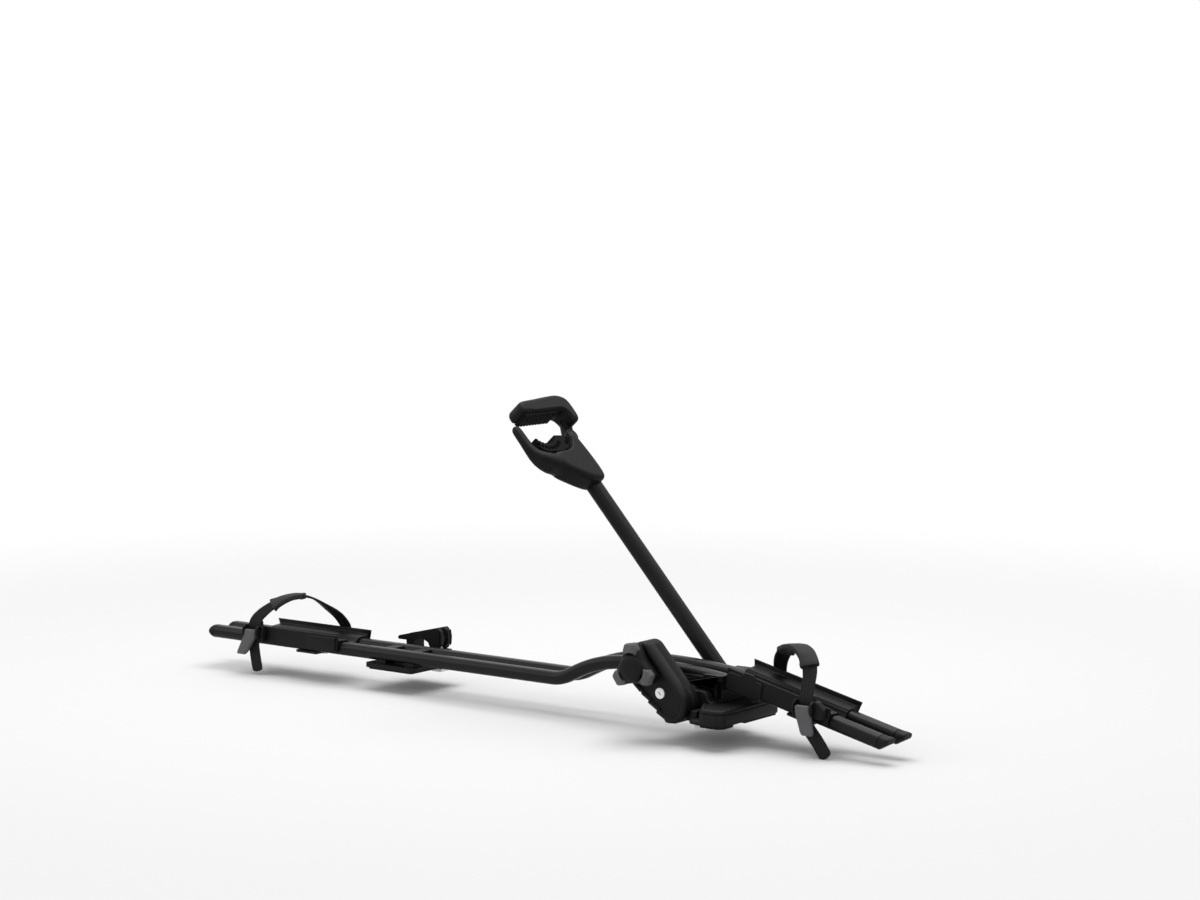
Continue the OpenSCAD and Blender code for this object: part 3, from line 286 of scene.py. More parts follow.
def join_solids(solids):
    """Several (points, faces) as one."""
    points, faces = [], []
    for more_points, more_faces in solids:
        shift = len(points)
        points += more_points
        faces += [tuple(k + shift for k in face) for face in more_faces]
    return points, faces


def link_object(name, data):
    """A new object of the scene."""
    made = bpy.data.objects.new(name, data)
    bpy.context.scene.collection.objects.link(made)
    return made


def solid_mesh(name, solid, weld):
    """A mesh from (points, faces) in millimetres, with its doubled points welded or kept."""
    points, faces = solid
    mesh = bpy.data.meshes.new(name)
    mesh.from_pydata([tuple(Vector(p) * MM) for p in points], [], faces)
    bm = bmesh.new()
    bm.from_mesh(mesh)
    if weld:
        bmesh.ops.remove_doubles(bm, verts=bm.verts, dist=WELD_GAP)
    bmesh.ops.recalc_face_normals(bm, faces=bm.faces)
    bm.to_mesh(mesh)
    bm.free()
    return mesh


def make_piece(name, solid, body, material, replaces=(), sharp=40):
    """A piece of the object from (points, faces) in millimetres."""
    mesh = solid_mesh(name, solid, True)
    shade(mesh, sharp)
    piece = link_object(name, mesh)
    dress(piece, material)
    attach(piece, body)
    if replaces:
        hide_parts(*replaces)
    return piece


def shade(mesh, sharp):
    """Smooth shading with hard edges past an angle in degrees."""
    mesh.polygons.foreach_set("use_smooth", [True] * len(mesh.polygons))
    mesh.set_sharp_from_angle(angle=math.radians(sharp))


def dress(piece, material):
    """Give a piece its one material."""
    piece.data.materials.clear()
    piece.data.materials.append(material)


def bake(piece, sharp):
    """Make what a piece's modifiers do its own mesh."""
    fixed = bpy.data.meshes.new_from_object(piece.evaluated_get(bpy.context.evaluated_depsgraph_get()))
    piece.modifiers.clear()
    piece.data = fixed
    shade(fixed, sharp)


def melt(piece, passes):
    """Fuse a piece's overlapping solids into one moulded skin with soft inner corners."""
    remesh = piece.modifiers.new("fuse", "REMESH")
    remesh.mode = "VOXEL"
    remesh.voxel_size = FUSE_VOXEL * MM
    soft = piece.modifiers.new("soften", "SMOOTH")
    soft.factor = 0.5
    soft.iterations = passes
    bake(piece, 60)


def cut(piece, solid):
    """Take a solid in millimetres out of a piece."""
    cutter = link_object("cutter", solid_mesh("cutter", solid, False))
    boolean = piece.modifiers.new("cut", "BOOLEAN")
    boolean.object = cutter
    boolean.solver = "EXACT"
    bake(piece, 40)
    bpy.data.objects.remove(cutter)


def round_edges(node, width, segments=3, angle=35):
    """Break the edges of a node of the frame, by a modifier."""
    bevel = NODES[node].modifiers.new("edges", "BEVEL")
    bevel.width = width * MM
    bevel.segments = segments
    bevel.limit_method = "ANGLE"
    bevel.angle_limit = math.radians(angle)
    bevel.use_clamp_overlap = True
    bevel.harden_normals = True


def cylinder_solid(a, b, r, sides=32):
    """A round bar between two points."""
    a, b = Vector(a), Vector(b)
    axis = (b - a).normalized()
    side = axis.orthogonal().normalized()
    other = axis.cross(side)
    ring = [r * (math.cos(2 * math.pi * k / sides) * side + math.sin(2 * math.pi * k / sides) * other)
            for k in range(sides)]
    return loft([[a + p for p in ring], [b + p for p in ring]])


# Materials

def add_node(tree, kind, **values):
    """A node with some of its inputs set: an underscore in a name stands for a space."""
    node = tree.nodes.new("ShaderNode" + kind)
    for key, value in values.items():
        node.inputs[key.replace("_", " ")].default_value = value
    return node


def make_material(name, slot, colour, rough, grain, bump, spread=0.25, specular=0.35, metal=0.0):
    """A moulded or coated surface: fine grain in relief, with colour and gloss that vary a little."""
    material = bpy.data.materials.new(name)
    material["slot"] = slot
    material.use_nodes = True
    tree = material.node_tree
    shader = tree.nodes["Principled BSDF"]
    shader.inputs["Metallic"].default_value = metal
    shader.inputs["Specular IOR Level"].default_value = specular
    place = add_node(tree, "TexCoord")
    fine = add_node(tree, "TexNoise", Scale=grain, Detail=6)
    broad = add_node(tree, "TexNoise", Scale=24, Detail=4)
    tint = add_node(tree, "MapRange", To_Min=1 - spread, To_Max=1 + spread)
    paint = add_node(tree, "Mix")
    paint.data_type = "RGBA"
    paint.blend_type = "MULTIPLY"
    paint.inputs["Factor"].default_value = 1
    paint.inputs["A"].default_value = (*colour, 1)
    gloss = add_node(tree, "MapRange", To_Min=rough - 0.08, To_Max=rough + 0.08)
    relief = add_node(tree, "Bump", Strength=bump, Distance=0.0004)
    link = tree.links.new
    link(place.outputs["Object"], fine.inputs["Vector"])
    link(place.outputs["Object"], broad.inputs["Vector"])
    link(broad.outputs["Fac"], tint.inputs["Value"])
    link(tint.outputs["Result"], paint.inputs["B"])
    link(paint.outputs["Result"], shader.inputs["Base Color"])
    link(fine.outputs["Fac"], gloss.inputs["Value"])
    link(gloss.outputs["Result"], shader.inputs["Roughness"])
    link(fine.outputs["Fac"], relief.inputs["Height"])
    link(relief.outputs["Normal"], shader.inputs["Normal"])
    return material


BLACK = make_material("black_moulding", "black_plastic", (0.0050, 0.0050, 0.0053), 0.48, 1500, 0.18, 0.25,
                      0.14)
TRAY = make_material("tray_moulding", "tray_plastic", (0.0050, 0.0050, 0.0053), 0.44, 1200, 0.10, 0.25, 0.14)
RAIL = make_material("anodised_rail", "anodised_rail", (0.0050, 0.0050, 0.0056), 0.34, 2600, 0.06, 0.12, 0.17)
PAD = make_material("pad_rubber", "pad_rubber", (0.0045, 0.0045, 0.0047), 0.75, 900, 0.30, 0.25, 0.10)
STRAP = make_material("strap_rubber", "strap_rubber", (0.0065, 0.0065, 0.0068), 0.55, 1100, 0.15, 0.25, 0.14)
SLEEVE = make_material("sleeve_rubber", "sleeve_rubber", (0.024, 0.024, 0.0252), 0.62, 1000, 0.22, 0.25, 0.16)
GREY = make_material("grey_grip", "grey_plastic", (0.088, 0.089, 0.092), 0.55, 1400, 0.20, 0.15, 0.22)
STEEL = make_material("zinc_steel", "zinc_steel", (0.55, 0.56, 0.57), 0.34, 900, 0.08, 0.10, 0.5, 1.0)
BUSH = make_material("bush_plastic", "bush_plastic", (0.55, 0.54, 0.49), 0.50, 900, 0.08)
CABLE = make_material("cable_steel", "cable_steel", (0.22, 0.22, 0.23), 0.45, 3000, 0.30, 0.3, 0.5, 1.0)
LOCK = make_material("lock_metal", "lock_metal", (0.80, 0.80, 0.79), 0.30, 1600, 0.10, 0.08, 0.5, 0.55)
SLOT_MATERIALS = {m["slot"]: m for m in (BLACK, TRAY, RAIL, PAD, STRAP, SLEEVE, GREY, STEEL, BUSH, CABLE,
                                         LOCK)}
for part in frame["record"]["subparts"]:
    node = NODES[part["node"]]
    node.data.materials.clear()
    node.data.materials.append(SLOT_MATERIALS[part["material_slot"]])


# Camera, light and floor

CAMERA_AT = Vector((2403.17, -3513.99, 832.67)) * MM
CAMERA_AIM = Vector((-233.02, 0, 380.38)) * MM
CAMERA_ROLL = math.radians(-0.127)
LENS_PIXELS, FRAME_PIXELS = 2898.41, 1200
SENSOR = 36
FLOOR_Z, FLOOR_REACH = -0.0345, 30


def make_camera():
    """The photograph's camera."""
    data = bpy.data.cameras.new("camera")
    data.sensor_width = SENSOR
    data.lens = SENSOR * LENS_PIXELS / FRAME_PIXELS
    camera = link_object("camera", data)
    look = (CAMERA_AIM - CAMERA_AT).normalized()
    roll = Quaternion(look, CAMERA_ROLL)
    camera.rotation_mode = "QUATERNION"
    camera.rotation_quaternion = roll @ look.to_track_quat("-Z", "Y")
    camera.location = CAMERA_AT
    bpy.context.scene.camera = camera


def make_lamp(name, place, aim, size, power):
    """A soft square lamp."""
    data = bpy.data.lights.new(name, "AREA")
    data.shape = "SQUARE"
    data.size = size
    data.energy = power
    lamp = link_object(name, data)
    lamp.location = place
    lamp.rotation_euler = (Vector(aim) - Vector(place)).to_track_quat("-Z", "Y").to_euler()


def make_stage():
    """A pale floor that fades into a white surround."""
    world = bpy.data.worlds.new("surround")
    bpy.context.scene.world = world
    world.use_nodes = True
    tree = world.node_tree
    background = tree.nodes["Background"]
    background.inputs["Color"].default_value = (1, 1, 1, 1)
    rays = add_node(tree, "LightPath")
    seen = add_node(tree, "Math")
    seen.operation = "MAXIMUM"
    clear = add_node(tree, "Math")
    clear.operation = "MAXIMUM"
    level = add_node(tree, "MapRange", To_Min=0.55, To_Max=1.0)
    link = tree.links.new
    link(rays.outputs["Is Camera Ray"], seen.inputs[0])
    link(rays.outputs["Is Glossy Ray"], seen.inputs[1])
    link(seen.outputs[0], clear.inputs[0])
    link(rays.outputs["Is Transmission Ray"], clear.inputs[1])
    link(clear.outputs[0], level.inputs["Value"])
    link(level.outputs["Result"], background.inputs["Strength"])
    mesh = bpy.data.meshes.new("floor")
    corners = [(x * FLOOR_REACH, y * FLOOR_REACH, FLOOR_Z) for x, y in ((-1, -1), (1, -1), (1, 1), (-1, 1))]
    mesh.from_pydata(corners, [], [(0, 1, 2, 3)])
    floor = link_object("floor", mesh)
    pale = bpy.data.materials.new("pale_floor")
    pale.use_nodes = True
    tree = pale.node_tree
    shader = tree.nodes["Principled BSDF"]
    shader.inputs["Base Color"].default_value = (0.74, 0.74, 0.74, 1)
    shader.inputs["Roughness"].default_value = 0.9
    shader.inputs["Specular IOR Level"].default_value = 0.1
    place = add_node(tree, "TexCoord")
    distance = add_node(tree, "VectorMath")
    distance.operation = "DISTANCE"
    distance.inputs[1].default_value = (-0.35, 0, FLOOR_Z)
    fade = add_node(tree, "MapRange", From_Min=0.9, From_Max=2.4)
    fade.interpolation_type = "SMOOTHSTEP"
    haze = add_node(tree, "Emission")
    rays = add_node(tree, "LightPath")
    mixed = add_node(tree, "MixShader")
    link = tree.links.new
    link(place.outputs["Object"], distance.inputs[0])
    link(distance.outputs["Value"], fade.inputs["Value"])
    link(rays.outputs["Is Camera Ray"], haze.inputs["Strength"])
    link(fade.outputs["Result"], mixed.inputs["Fac"])
    link(shader.outputs["BSDF"], mixed.inputs[1])
    link(haze.outputs["Emission"], mixed.inputs[2])
    link(mixed.outputs["Shader"], tree.nodes["Material Output"].inputs["Surface"])
    mesh.materials.append(pale)
    make_lamp("overhead", (-0.4, 0.5, 3.2), (-0.25, 0, 0.1), 3.0, 95)
    make_lamp("front_fill", (2.2, -2.6, 1.6), (-0.2, 0, 0.15), 2.0, 16)
    make_lamp("left_fill", (-2.6, -1.8, 1.4), (-0.4, 0, 0.15), 1.6, 12)


# Rails

def path_step(p, length, turn=0.0):
    """One step of a path (x, z, heading in degrees): straight by length, or an arc of that radius."""
    x, z, heading = p
    a = math.radians(heading)
    if turn == 0:
        return x + length * math.cos(a), z + length * math.sin(a), heading
    side = math.copysign(1, turn)
    b = math.radians(heading + turn)
    return (x + side * length * (math.sin(b) - math.sin(a)),
            z - side * length * (math.cos(b) - math.cos(a)), heading + turn)


def path_stations(start, segments, degrees_per_step=1.2):
    """Path points that follow each bend closely."""
    out, here = [start], start
    for length, turn in segments:
        steps = max(1, round(abs(turn) / degrees_per_step))
        out += [path_step(here, length, turn * k / steps) if turn else path_step(here, length)
                for k in range(1, steps + 1)]
        here = out[-1]
    return out


HUMP_A = math.radians(HUMP_ANGLE)
HUMP_RUN = (HUMP_R_LOW + HUMP_R_TOP) * math.sin(HUMP_A) + HUMP_LEN * math.cos(HUMP_A)
HUMP_RISE = (HUMP_R_LOW + HUMP_R_TOP) * (1 - math.cos(HUMP_A)) + HUMP_LEN * math.sin(HUMP_A)
BOW_A = math.radians(BOW_ANGLE)
BOW_START = (BOW_X, RAIL_Z + HUMP_RISE, 0)
BOW_END = path_step(BOW_START, BOW_R, -BOW_ANGLE)
RAIL_BOX = [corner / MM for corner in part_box("rail_near")]
RAIL_START = (RAIL_BOX[0].x, RAIL_Z, 0)
RAIL_REAR_LEN = BOW_X - CREST_LEN - HUMP_RUN - RAIL_START[0]
RAIL_FRONT_LEN = (RAIL_BOX[1].x - RAIL_H / 2 * math.sin(BOW_A) - BOW_END[0]) / math.cos(BOW_A)
RAIL_SEGMENTS = [(RAIL_REAR_LEN, 0), (HUMP_R_LOW, HUMP_ANGLE), (HUMP_LEN, 0), (HUMP_R_TOP, -HUMP_ANGLE),
                 (CREST_LEN, 0), (BOW_R, -BOW_ANGLE), (RAIL_FRONT_LEN, 0)]
RAIL_STATIONS = path_stations(RAIL_START, RAIL_SEGMENTS)
RAIL_END = RAIL_STATIONS[-1]
FRONT_BUCKLE = path_step(BOW_END, 58)
FRONT_TRAY_X, FRONT_TRAY_LEN = 28, 92
FRONT_TRAY_BACK = (BOW_END[0] - FRONT_TRAY_X) / math.cos(BOW_A)
FRONT_TRAY_START = path_step(BOW_END, -FRONT_TRAY_BACK)
REAR_TRAY_START = (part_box("rear_tray")[0].x / MM, RAIL_Z, 0)
REAR_TRAY_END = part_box("rear_tray")[1].x / MM
REAR_BUCKLE = (joint_place("rear_buckle_open").x, RAIL_Z, 0)


def at_path(p, along, y, up):
    """A point beside a path point: along it, across the car, and up from it."""
    a = math.radians(p[2])
    return Vector((p[0] + along * math.cos(a) - up * math.sin(a), y,
                   p[1] + along * math.sin(a) + up * math.cos(a)))


def tube_ring(p, y, w, h, r, along=0.0, up=0.0):
    """A rounded rectangle set square to a path point."""
    return [at_path(p, along, y + q.x, up + q.y) for q in box_loop(w, h, r, 8)]


def make_rails():
    """The two bent tubes and their end caps."""
    for name, side in (("rail_near", -1), ("rail_far", 1)):
        y = side * RAIL_PITCH / 2
        outer = [tube_ring(p, y, RAIL_W, RAIL_H, RAIL_R) for p in RAIL_STATIONS]
        inner = [tube_ring(p, y, RAIL_W - 2 * RAIL_WALL, RAIL_H - 2 * RAIL_WALL, RAIL_R - RAIL_WALL)
                 for p in RAIL_STATIONS]
        make_piece(name + "_tube", tube_skin(outer, inner), "base", RAIL, [name])
    make_piece("rear_end_caps", join_solids([rear_cap(side) for side in (-1, 1)]), "base", BLACK)
    make_piece("front_end_caps", join_solids([front_cap(side) for side in (-1, 1)]), "base", BLACK,
               ["front_rail_caps"])
    caps = bpy.data.objects["rear_end_caps"]
    for side in (-1, 1):
        hole_y = side * RAIL_PITCH / 2 - RAIL_W / 2
        x, z = RAIL_START[0] - REAR_CAP_LEN * 0.42, RAIL_Z - RAIL_H * 0.22
        cut(caps, cylinder_solid((x, hole_y - 2, z), (x, hole_y + 5, z), CAP_HOLE_R, 24))
    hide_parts("rear_rail_caps")


def plug_rings(p, y, until):
    """The straight start of an end cap, with a broken edge where it meets the tube."""
    return [tube_ring(p, y, RAIL_W - cut_in, RAIL_H - cut_in, RAIL_R - cut_in / 2, along)
            for cut_in, along in ((2, 0.1), (1.2, 0.6), (0, 1.2), (0, until))]


def rear_cap(side):
    """A plug with a half-round end, seen from the side."""
    y = side * RAIL_PITCH / 2
    p = (RAIL_START[0], RAIL_START[1], 180)
    top = RAIL_H / 2
    middle = REAR_CAP_LEN - top
    rings = plug_rings(p, y, middle)
    for k in range(1, 11):
        a = math.radians(8.8 * k)
        h = RAIL_H * math.cos(a)
        w = RAIL_W - 7 * (1 - math.cos(a))
        rings.append(tube_ring(p, y, w, h, min(RAIL_R, h * 0.48), middle + top * math.sin(a)))
    return loft(rings)


def front_cap(side):
    """A plug whose end slants back towards its underside."""
    y = side * RAIL_PITCH / 2
    top = RAIL_H / 2
    foot = FRONT_CAP_LEN * 0.2
    rings = plug_rings(RAIL_END, y, foot)
    steps = 10
    for k in range(1, steps + 1):
        u = k / steps
        d = foot + (FRONT_CAP_LEN - foot) * math.sin(u * math.pi / 2)
        low = -top + (1.25 * top) * (d - foot) / (FRONT_CAP_LEN - foot)
        high = top - 2.2 * u ** 4
        w = RAIL_W - 6 * u ** 4
        h = max(high - low, 4)
        rings.append(tube_ring(RAIL_END, y, w, h, min(RAIL_R, h * 0.46), d, (high + low) / 2))
    return loft(rings)


# Straps, sleeves and buckles

def strap_frames(route, start, end, steps):
    """Places along a strap as (middle, out, side): the strap's face looks along out."""
    curve = blend_curve(route, 24)
    lengths = len(curve) - 1

    def place(f):
        q = min(max(f, 0), 1) * lengths
        i = min(int(q), lengths - 1)
        return curve[i].lerp(curve[i + 1], q - i)

    out = []
    for k in range(steps + 1):
        f = start + (end - start) * k / steps
        p = place(f)
        along = (place(f + 0.006) - place(f - 0.006)).normalized()
        away = Vector((0, p.y, max(p.z - STRAP_HEART, 0)))
        away = (away - away.dot(along) * along).normalized()
        out.append((p, away, along.cross(away)))
    return out


def band_profile(w, t, grooves=0, groove_d=0.0):
    """Section of a strap with rounded edges and grooves along its outer face, as (side, out)."""
    r = min(t * 0.42, 1.4)
    loop = rounded_loop([(-w / 2, -t / 2, r), (w / 2, -t / 2, r), (w / 2, t / 2, r), (-w / 2, t / 2, r)], 4)
    if not grooves:
        return loop
    top = [p for p in loop if p.y > 0]
    rest = [p for p in loop if p.y <= 0]
    face = []
    half = w / 2 - r - 0.4
    for g in range(grooves):
        x = half - (g + 0.5) * 2 * half / grooves
        g_w = half / grooves * 0.45
        face += [Vector((x + g_w, t / 2)), Vector((x + g_w * 0.5, t / 2 - groove_d)),
                 Vector((x - g_w * 0.5, t / 2 - groove_d)), Vector((x - g_w, t / 2))]
    right = [p for p in top if p.x > 0]
    left = [p for p in top if p.x < 0]
    return rest + right + face + left


def make_strap(name, route, at, body, node):
    """A moulded strap with a rounded free tail."""
    places = strap_frames(route, 0, 1, 190)
    tail = STRAP_W * 0.4
    run = 0.0
    rings = []
    profile = band_profile(STRAP_W, STRAP_T, 4, 0.45)
    for k, (p, away, side) in enumerate(places):
        if k:
            run += (p - places[k - 1][0]).length
        close = max(0.0, 1 - run / tail)
        width = max(0.12, (1 - close ** 3) ** (1 / 3))
        rings.append([Vector((at[0], 0, at[1])) + p + q.x * width * side + q.y * away for q in profile])
    make_piece(name, loft(rings), body, STRAP, [node], sharp=50)


def make_sleeve(name, route, span, at, body, node):
    """A rubber sleeve on the strap, with a thick collar at each end and a raised band along its back."""
    places = strap_frames(route, *span, 60)
    w, t = STRAP_W + 2 * STRAP_GAP + 2 * SLEEVE_WALL, STRAP_T + 2 * STRAP_GAP + 2 * SLEEVE_WALL
    room_w, room_t = STRAP_W + 0.8, STRAP_T + 0.8
    outline = rounded_loop([(-w / 2, -t / 2, 2), (w / 2, -t / 2, 2), (w / 2, t / 2 - 0.6, 2),
                            (w * 0.3, t / 2 - 0.4, 1), (w * 0.24, t / 2 + 0.4, 1),
                            (-w * 0.24, t / 2 + 0.4, 1), (-w * 0.3, t / 2 - 0.4, 1),
                            (-w / 2, t / 2 - 0.6, 2)], 3)
    bore = [Vector((max(-room_w / 2, min(room_w / 2, q.x)), math.copysign(room_t / 2, q.y))) for q in outline]
    outer, inner = [], []
    last = len(places) - 1
    for k, (p, away, side) in enumerate(places):
        u = k / last
        collar = smooth_step(1 - u / 0.17) + 0.7 * smooth_step(1 - (1 - u) / 0.12)
        lip = 1 - 0.09 * max(0.0, 1 - u / 0.02) - 0.09 * max(0.0, 1 - (1 - u) / 0.02)
        middle = Vector((at[0], 0, at[1])) + p
        wide, thick = (0.94 + 0.10 * collar) * lip, (0.9 + 0.26 * collar) * lip
        outer.append([middle + q.x * wide * side + q.y * thick * away for q in outline])
        inner.append([middle + q.x * side + q.y * away for q in bore])
    make_piece(name, tube_skin(outer, inner), body, SLEEVE, [node], sharp=50)


def smooth_step(u):
    """An even start and stop between 0 and 1."""
    u = min(max(u, 0.0), 1.0)
    return u * u * (3 - 2 * u)


def make_buckle(end, at, block_w, body):
    """The black frame of a buckle: a base on the tray, two deep cheeks, a block beside them and a nub."""
    x0, z0 = at[0], at[1]
    wall = -TRAY_HALF
    half = BUCKLE_W / 2

    def face(u, v, depth):
        return Vector((x0 + u, depth, z0 + v))

    def sidewise(u, v, depth):
        return Vector((x0 + depth, wall - u, z0 + v))

    base = rounded_loop([(-half, 2, 1.5), (half, 2, 1.5), (half, 21, 3), (-half, 21, 3)])
    solids = [pillow(base, both_edges(wall - 3, wall - 0.1, 0.8, 0.2, 3), face)]
    cheek = rounded_loop([(0, 1, 0), (9, -1, 4), (17.5, 4, 5), (19.5, 12, 5), (18, 20, 4), (11, 24.5, 4),
                          (0, 24, 1)])
    for low, high in ((-half, -half + CHEEK_T), (half - CHEEK_T, half + 1.2)):
        solids.append(pillow(cheek, both_edges(low, high, 0.7, 0.9, 3), sidewise))
    nub = rounded_loop([(half - 9, 18, 2), (half + 1, 18, 2), (half + 0.5, 31, 2.5), (half - 5, 33, 2.5)])
    solids.append(pillow(nub, both_edges(wall - 7, wall - 0.4, 1.4, 0.6, 3), face))
    block = rounded_loop([(half, -3, 2), (half + block_w, -1, 3), (half + block_w, 13, 4),
                          (half + block_w * 0.4, 23, 4), (half, 25, 2)])
    solids.append(pillow(block, both_edges(wall - 11, wall - 0.4, 1.6, 0.6, 4), face))
    make_piece(end + "_buckle_frame", join_solids(solids), body, BLACK, [end + "_buckle"])


def make_buckle_lever(end, lean, body):
    """The grey lever: a soft trapezoid plate that leans along the car."""
    pin = joint_place(end + "_buckle_open")
    half = BUCKLE_W / 2 - CHEEK_T - 0.6
    loop = rounded_loop([(half * share, v, r) for share, v, r in (
        (-0.94, LEVER_TOP, 3), (-1, -6, 5), (-0.8, -33, 4), (-0.66, -38.5, 2.5),
        (0.66, -38.5, 2.5), (0.86, -33, 4), (1, -6, 5), (0.8, LEVER_TOP, 3))])

    def place(u, v, depth):
        hang = min(0.0, v + 4)
        return Vector((pin.x + u - lean * hang, pin.y + 0.10 * hang + depth, pin.z + v))

    levels = [(1.6, 2.4), (0.5, 2.2), (0, 1.5), (0, -2.2), (0.4, -3.6), (1.6, -4.5), (3.2, -4.8)]
    piece = make_piece(end + "_lever_plate", pillow(loop, levels, place), body, GREY, [end + "_buckle_lever"])
    cut(piece, cylinder_solid(pin - Vector((30, 0, 0)), pin + Vector((30, 0, 0)), LEVER_BORE_R, 32))


def make_wheel_holds():
    """Straps, sleeves and buckles at both wheels."""
    for end, route, span, at, lean, block_w, body in (
            ("front", FRONT_STRAP_ROUTE, FRONT_SLEEVE_SPAN, FRONT_BUCKLE, 0.3, 17, "base"),
            ("rear", REAR_STRAP_ROUTE, REAR_SLEEVE_SPAN, REAR_BUCKLE, -0.55, 7, "rear_tray")):
        make_strap(end + "_wheel_strap", route, at, body, end + "_strap")
        make_sleeve(end + "_sleeve", route, span, at, body, end + "_rim_sleeve")
        make_buckle(end, at, block_w, body)
        make_buckle_lever(end, lean, end + "_buckle_lever")


# Knob and its housing

def housing_point(u, v, depth):
    """A point of the housing: u square to the arm, v up along it, depth across the car."""
    return arm_point(u, depth, v)


def stepped_loop(inset):
    """The housing's outline with three moulded steps down its rear edge."""
    loop = chain_loop(HOUSING_CHAIN, inset, 16, 40)
    out = []
    for p in loop:
        along = 48 - p.y
        rear = p.x < -8 and -22 < p.y < 48
        if rear:
            step = 3.8 * (1 - (along % 20) / 20) * min(1.0, along / 4)
            normal = Vector((p.x, p.y - min(max(p.y, 0), 70))).normalized()
            p = p + normal * (step - 2.8)
        out.append(p)
    return out


def make_housing():
    """The two shells: a raised lip frames the near face, and its front edge is broadly rounded."""
    near = [(0.4, -HOUSING_IN - HOUSING_T / 2), (0, -HOUSING_IN - HOUSING_T / 2 - 0.5), (0, -HOUSING_OUT + 5)]
    near += quarter(-HOUSING_OUT - 2, -1, 6, 6)[1:]
    near += [(q, d - HOUSING_OUT) for q, d in ((7.2, -1.7), (8.0, -0.9), (8.6, 0.8), (9.2, 1.4))]
    rings = [[housing_point(p.x, p.y, d) for p in stepped_loop(q)] for q, d in near]
    shell = make_piece("housing_near", loft(rings), "arm", BLACK, ["housing_shell"])
    lock = joint_place("lock_turn")
    cut(shell, cylinder_solid((lock.x, -HOUSING_OUT - 10, lock.z), (lock.x, -HOUSING_OUT + 12, lock.z),
                              LOCK_BORE_R, 48))
    back = [(1.5, -HOUSING_IN - 0.05), (0.4, -HOUSING_IN - 0.5), (0, -HOUSING_IN - 1.6),
            (0, -HOUSING_IN - HOUSING_T / 2 + 0.7), (0.4, -HOUSING_IN - HOUSING_T / 2 + 0.2)]
    rings = [[housing_point(p.x, p.y, d) for p in stepped_loop(q)] for q, d in back]
    make_piece("housing_inner", loft(rings), "arm", BLACK, ["housing_back"])


def knob_point(u, v, depth):
    """A point of the knob, seen from the near side: u to the front, v up."""
    middle = joint_place("knob_turn")
    return Vector((middle.x + u, depth, middle.z + v))


def wing_corners(corners, k):
    """A wing's (out, aside, radius) corners turned to where wing number k is."""
    a = math.radians(WING_TURN + 120 * k)
    c, s = math.cos(a), math.sin(a)
    return [(o * c - w * s, o * s + w * c, r) for o, w, r in corners]


def make_knob():
    """A three-winged knob with a domed hub and soft grey tips."""
    y0, y1 = -KNOB_Y, -KNOB_Y - KNOB_T
    wing = [(KNOB_R - 0.6, -8, 4), (KNOB_R - 0.6, 8, 4), (11, 19, 12)]
    levels = [(1.2, y0), (0.3, y0 - 0.4), (0, y0 - 1.4), (0, y1 + 9), (0.6, y1 + 6.6), (2, y1 + 5),
              (4, y1 + 4.4)]
    outline = rounded_loop([corner for k in range(3) for corner in wing_corners(wing, k)], 7)
    solids = [pillow(outline, levels, knob_point)]
    dome = [(20.5, y1 + 8), (20.3, y1 + 5), (19.4, y1 + 2.8), (17, y1 + 1.4), (12, y1 + 0.5), (6, y1 + 0.1),
            (0.5, y1)]
    turns = [2 * math.pi * k / 48 for k in range(48)]
    solids.append(loft([[knob_point(r * math.cos(a), r * math.sin(a), y) for a in turns] for r, y in dome]))
    make_piece("knob_hub", join_solids(solids), "knob", BLACK, ["knob_body"])
    hollow = 21.2
    tip = [(28, -12.6, 5), (KNOB_R, -8.5, 4), (KNOB_R, 8.5, 4), (28, 12.6, 5), (19.6, 11.6, 1.5)]
    tip += [(hollow * math.cos(b), hollow * math.sin(b), 0) for b in (0.45, 0.3, 0.15, 0, -0.15, -0.3, -0.45)]
    tip += [(19.6, -11.6, 1.5)]
    levels = [(1.2, y1 + 15), (0.3, y1 + 14.6), (0, y1 + 13.6), (0, y1 + 7), (0.5, y1 + 4.6), (1.4, y1 + 3.2),
              (2.4, y1 + 2.6)]
    tips = [pillow(rounded_loop(wing_corners(tip, k), 6), levels, knob_point) for k in range(3)]
    make_piece("knob_soft_tips", join_solids(tips), "knob", GREY, ["knob_tips"])


# Frame clamp

def make_thumb():
    """The finger of the lower jaw, which grows out of the palm: places with half widths, lows and highs."""
    spots = [(14, -64, 18, -10.5, 23.5), (-2, -59, 14.5, -10.5, 23.5), (-12, -56, 12.8, -10, 23),
             (-21, -51, 11, -8.6, 22), (-29.5, -45, 9.6, -6, 20), (-35, -37, 8.6, -3.4, 17.5),
             (-37.8, -26, 8.2, -1, 15.5), (-38.5, -12, 8, 0.6, 14.4), (-38.6, 4, 7.8, 1, 14),
             (-38.6, 11, 7.2, 1.3, 13.7), (-38.6, 15, 5.6, 2.6, 12.4), (-38.6, 17.4, 2.6, 5, 10)]
    rings = []
    for k, (y, v, half, low, high) in enumerate(spots):
        before, after = spots[max(k - 1, 0)], spots[min(k + 1, len(spots) - 1)]
        ahead = Vector((after[0] - before[0], after[1] - before[1])).normalized()
        r = min(half, (high - low) / 2) * 0.8
        section = rounded_loop([(half, high, r), (-half, high, r), (-half, low, r), (half, low, r)], 6)
        rings.append([clamp_point(y - ahead.y * q.x, v + ahead.x * q.x, q.y) for q in section])
    return loft(rings)


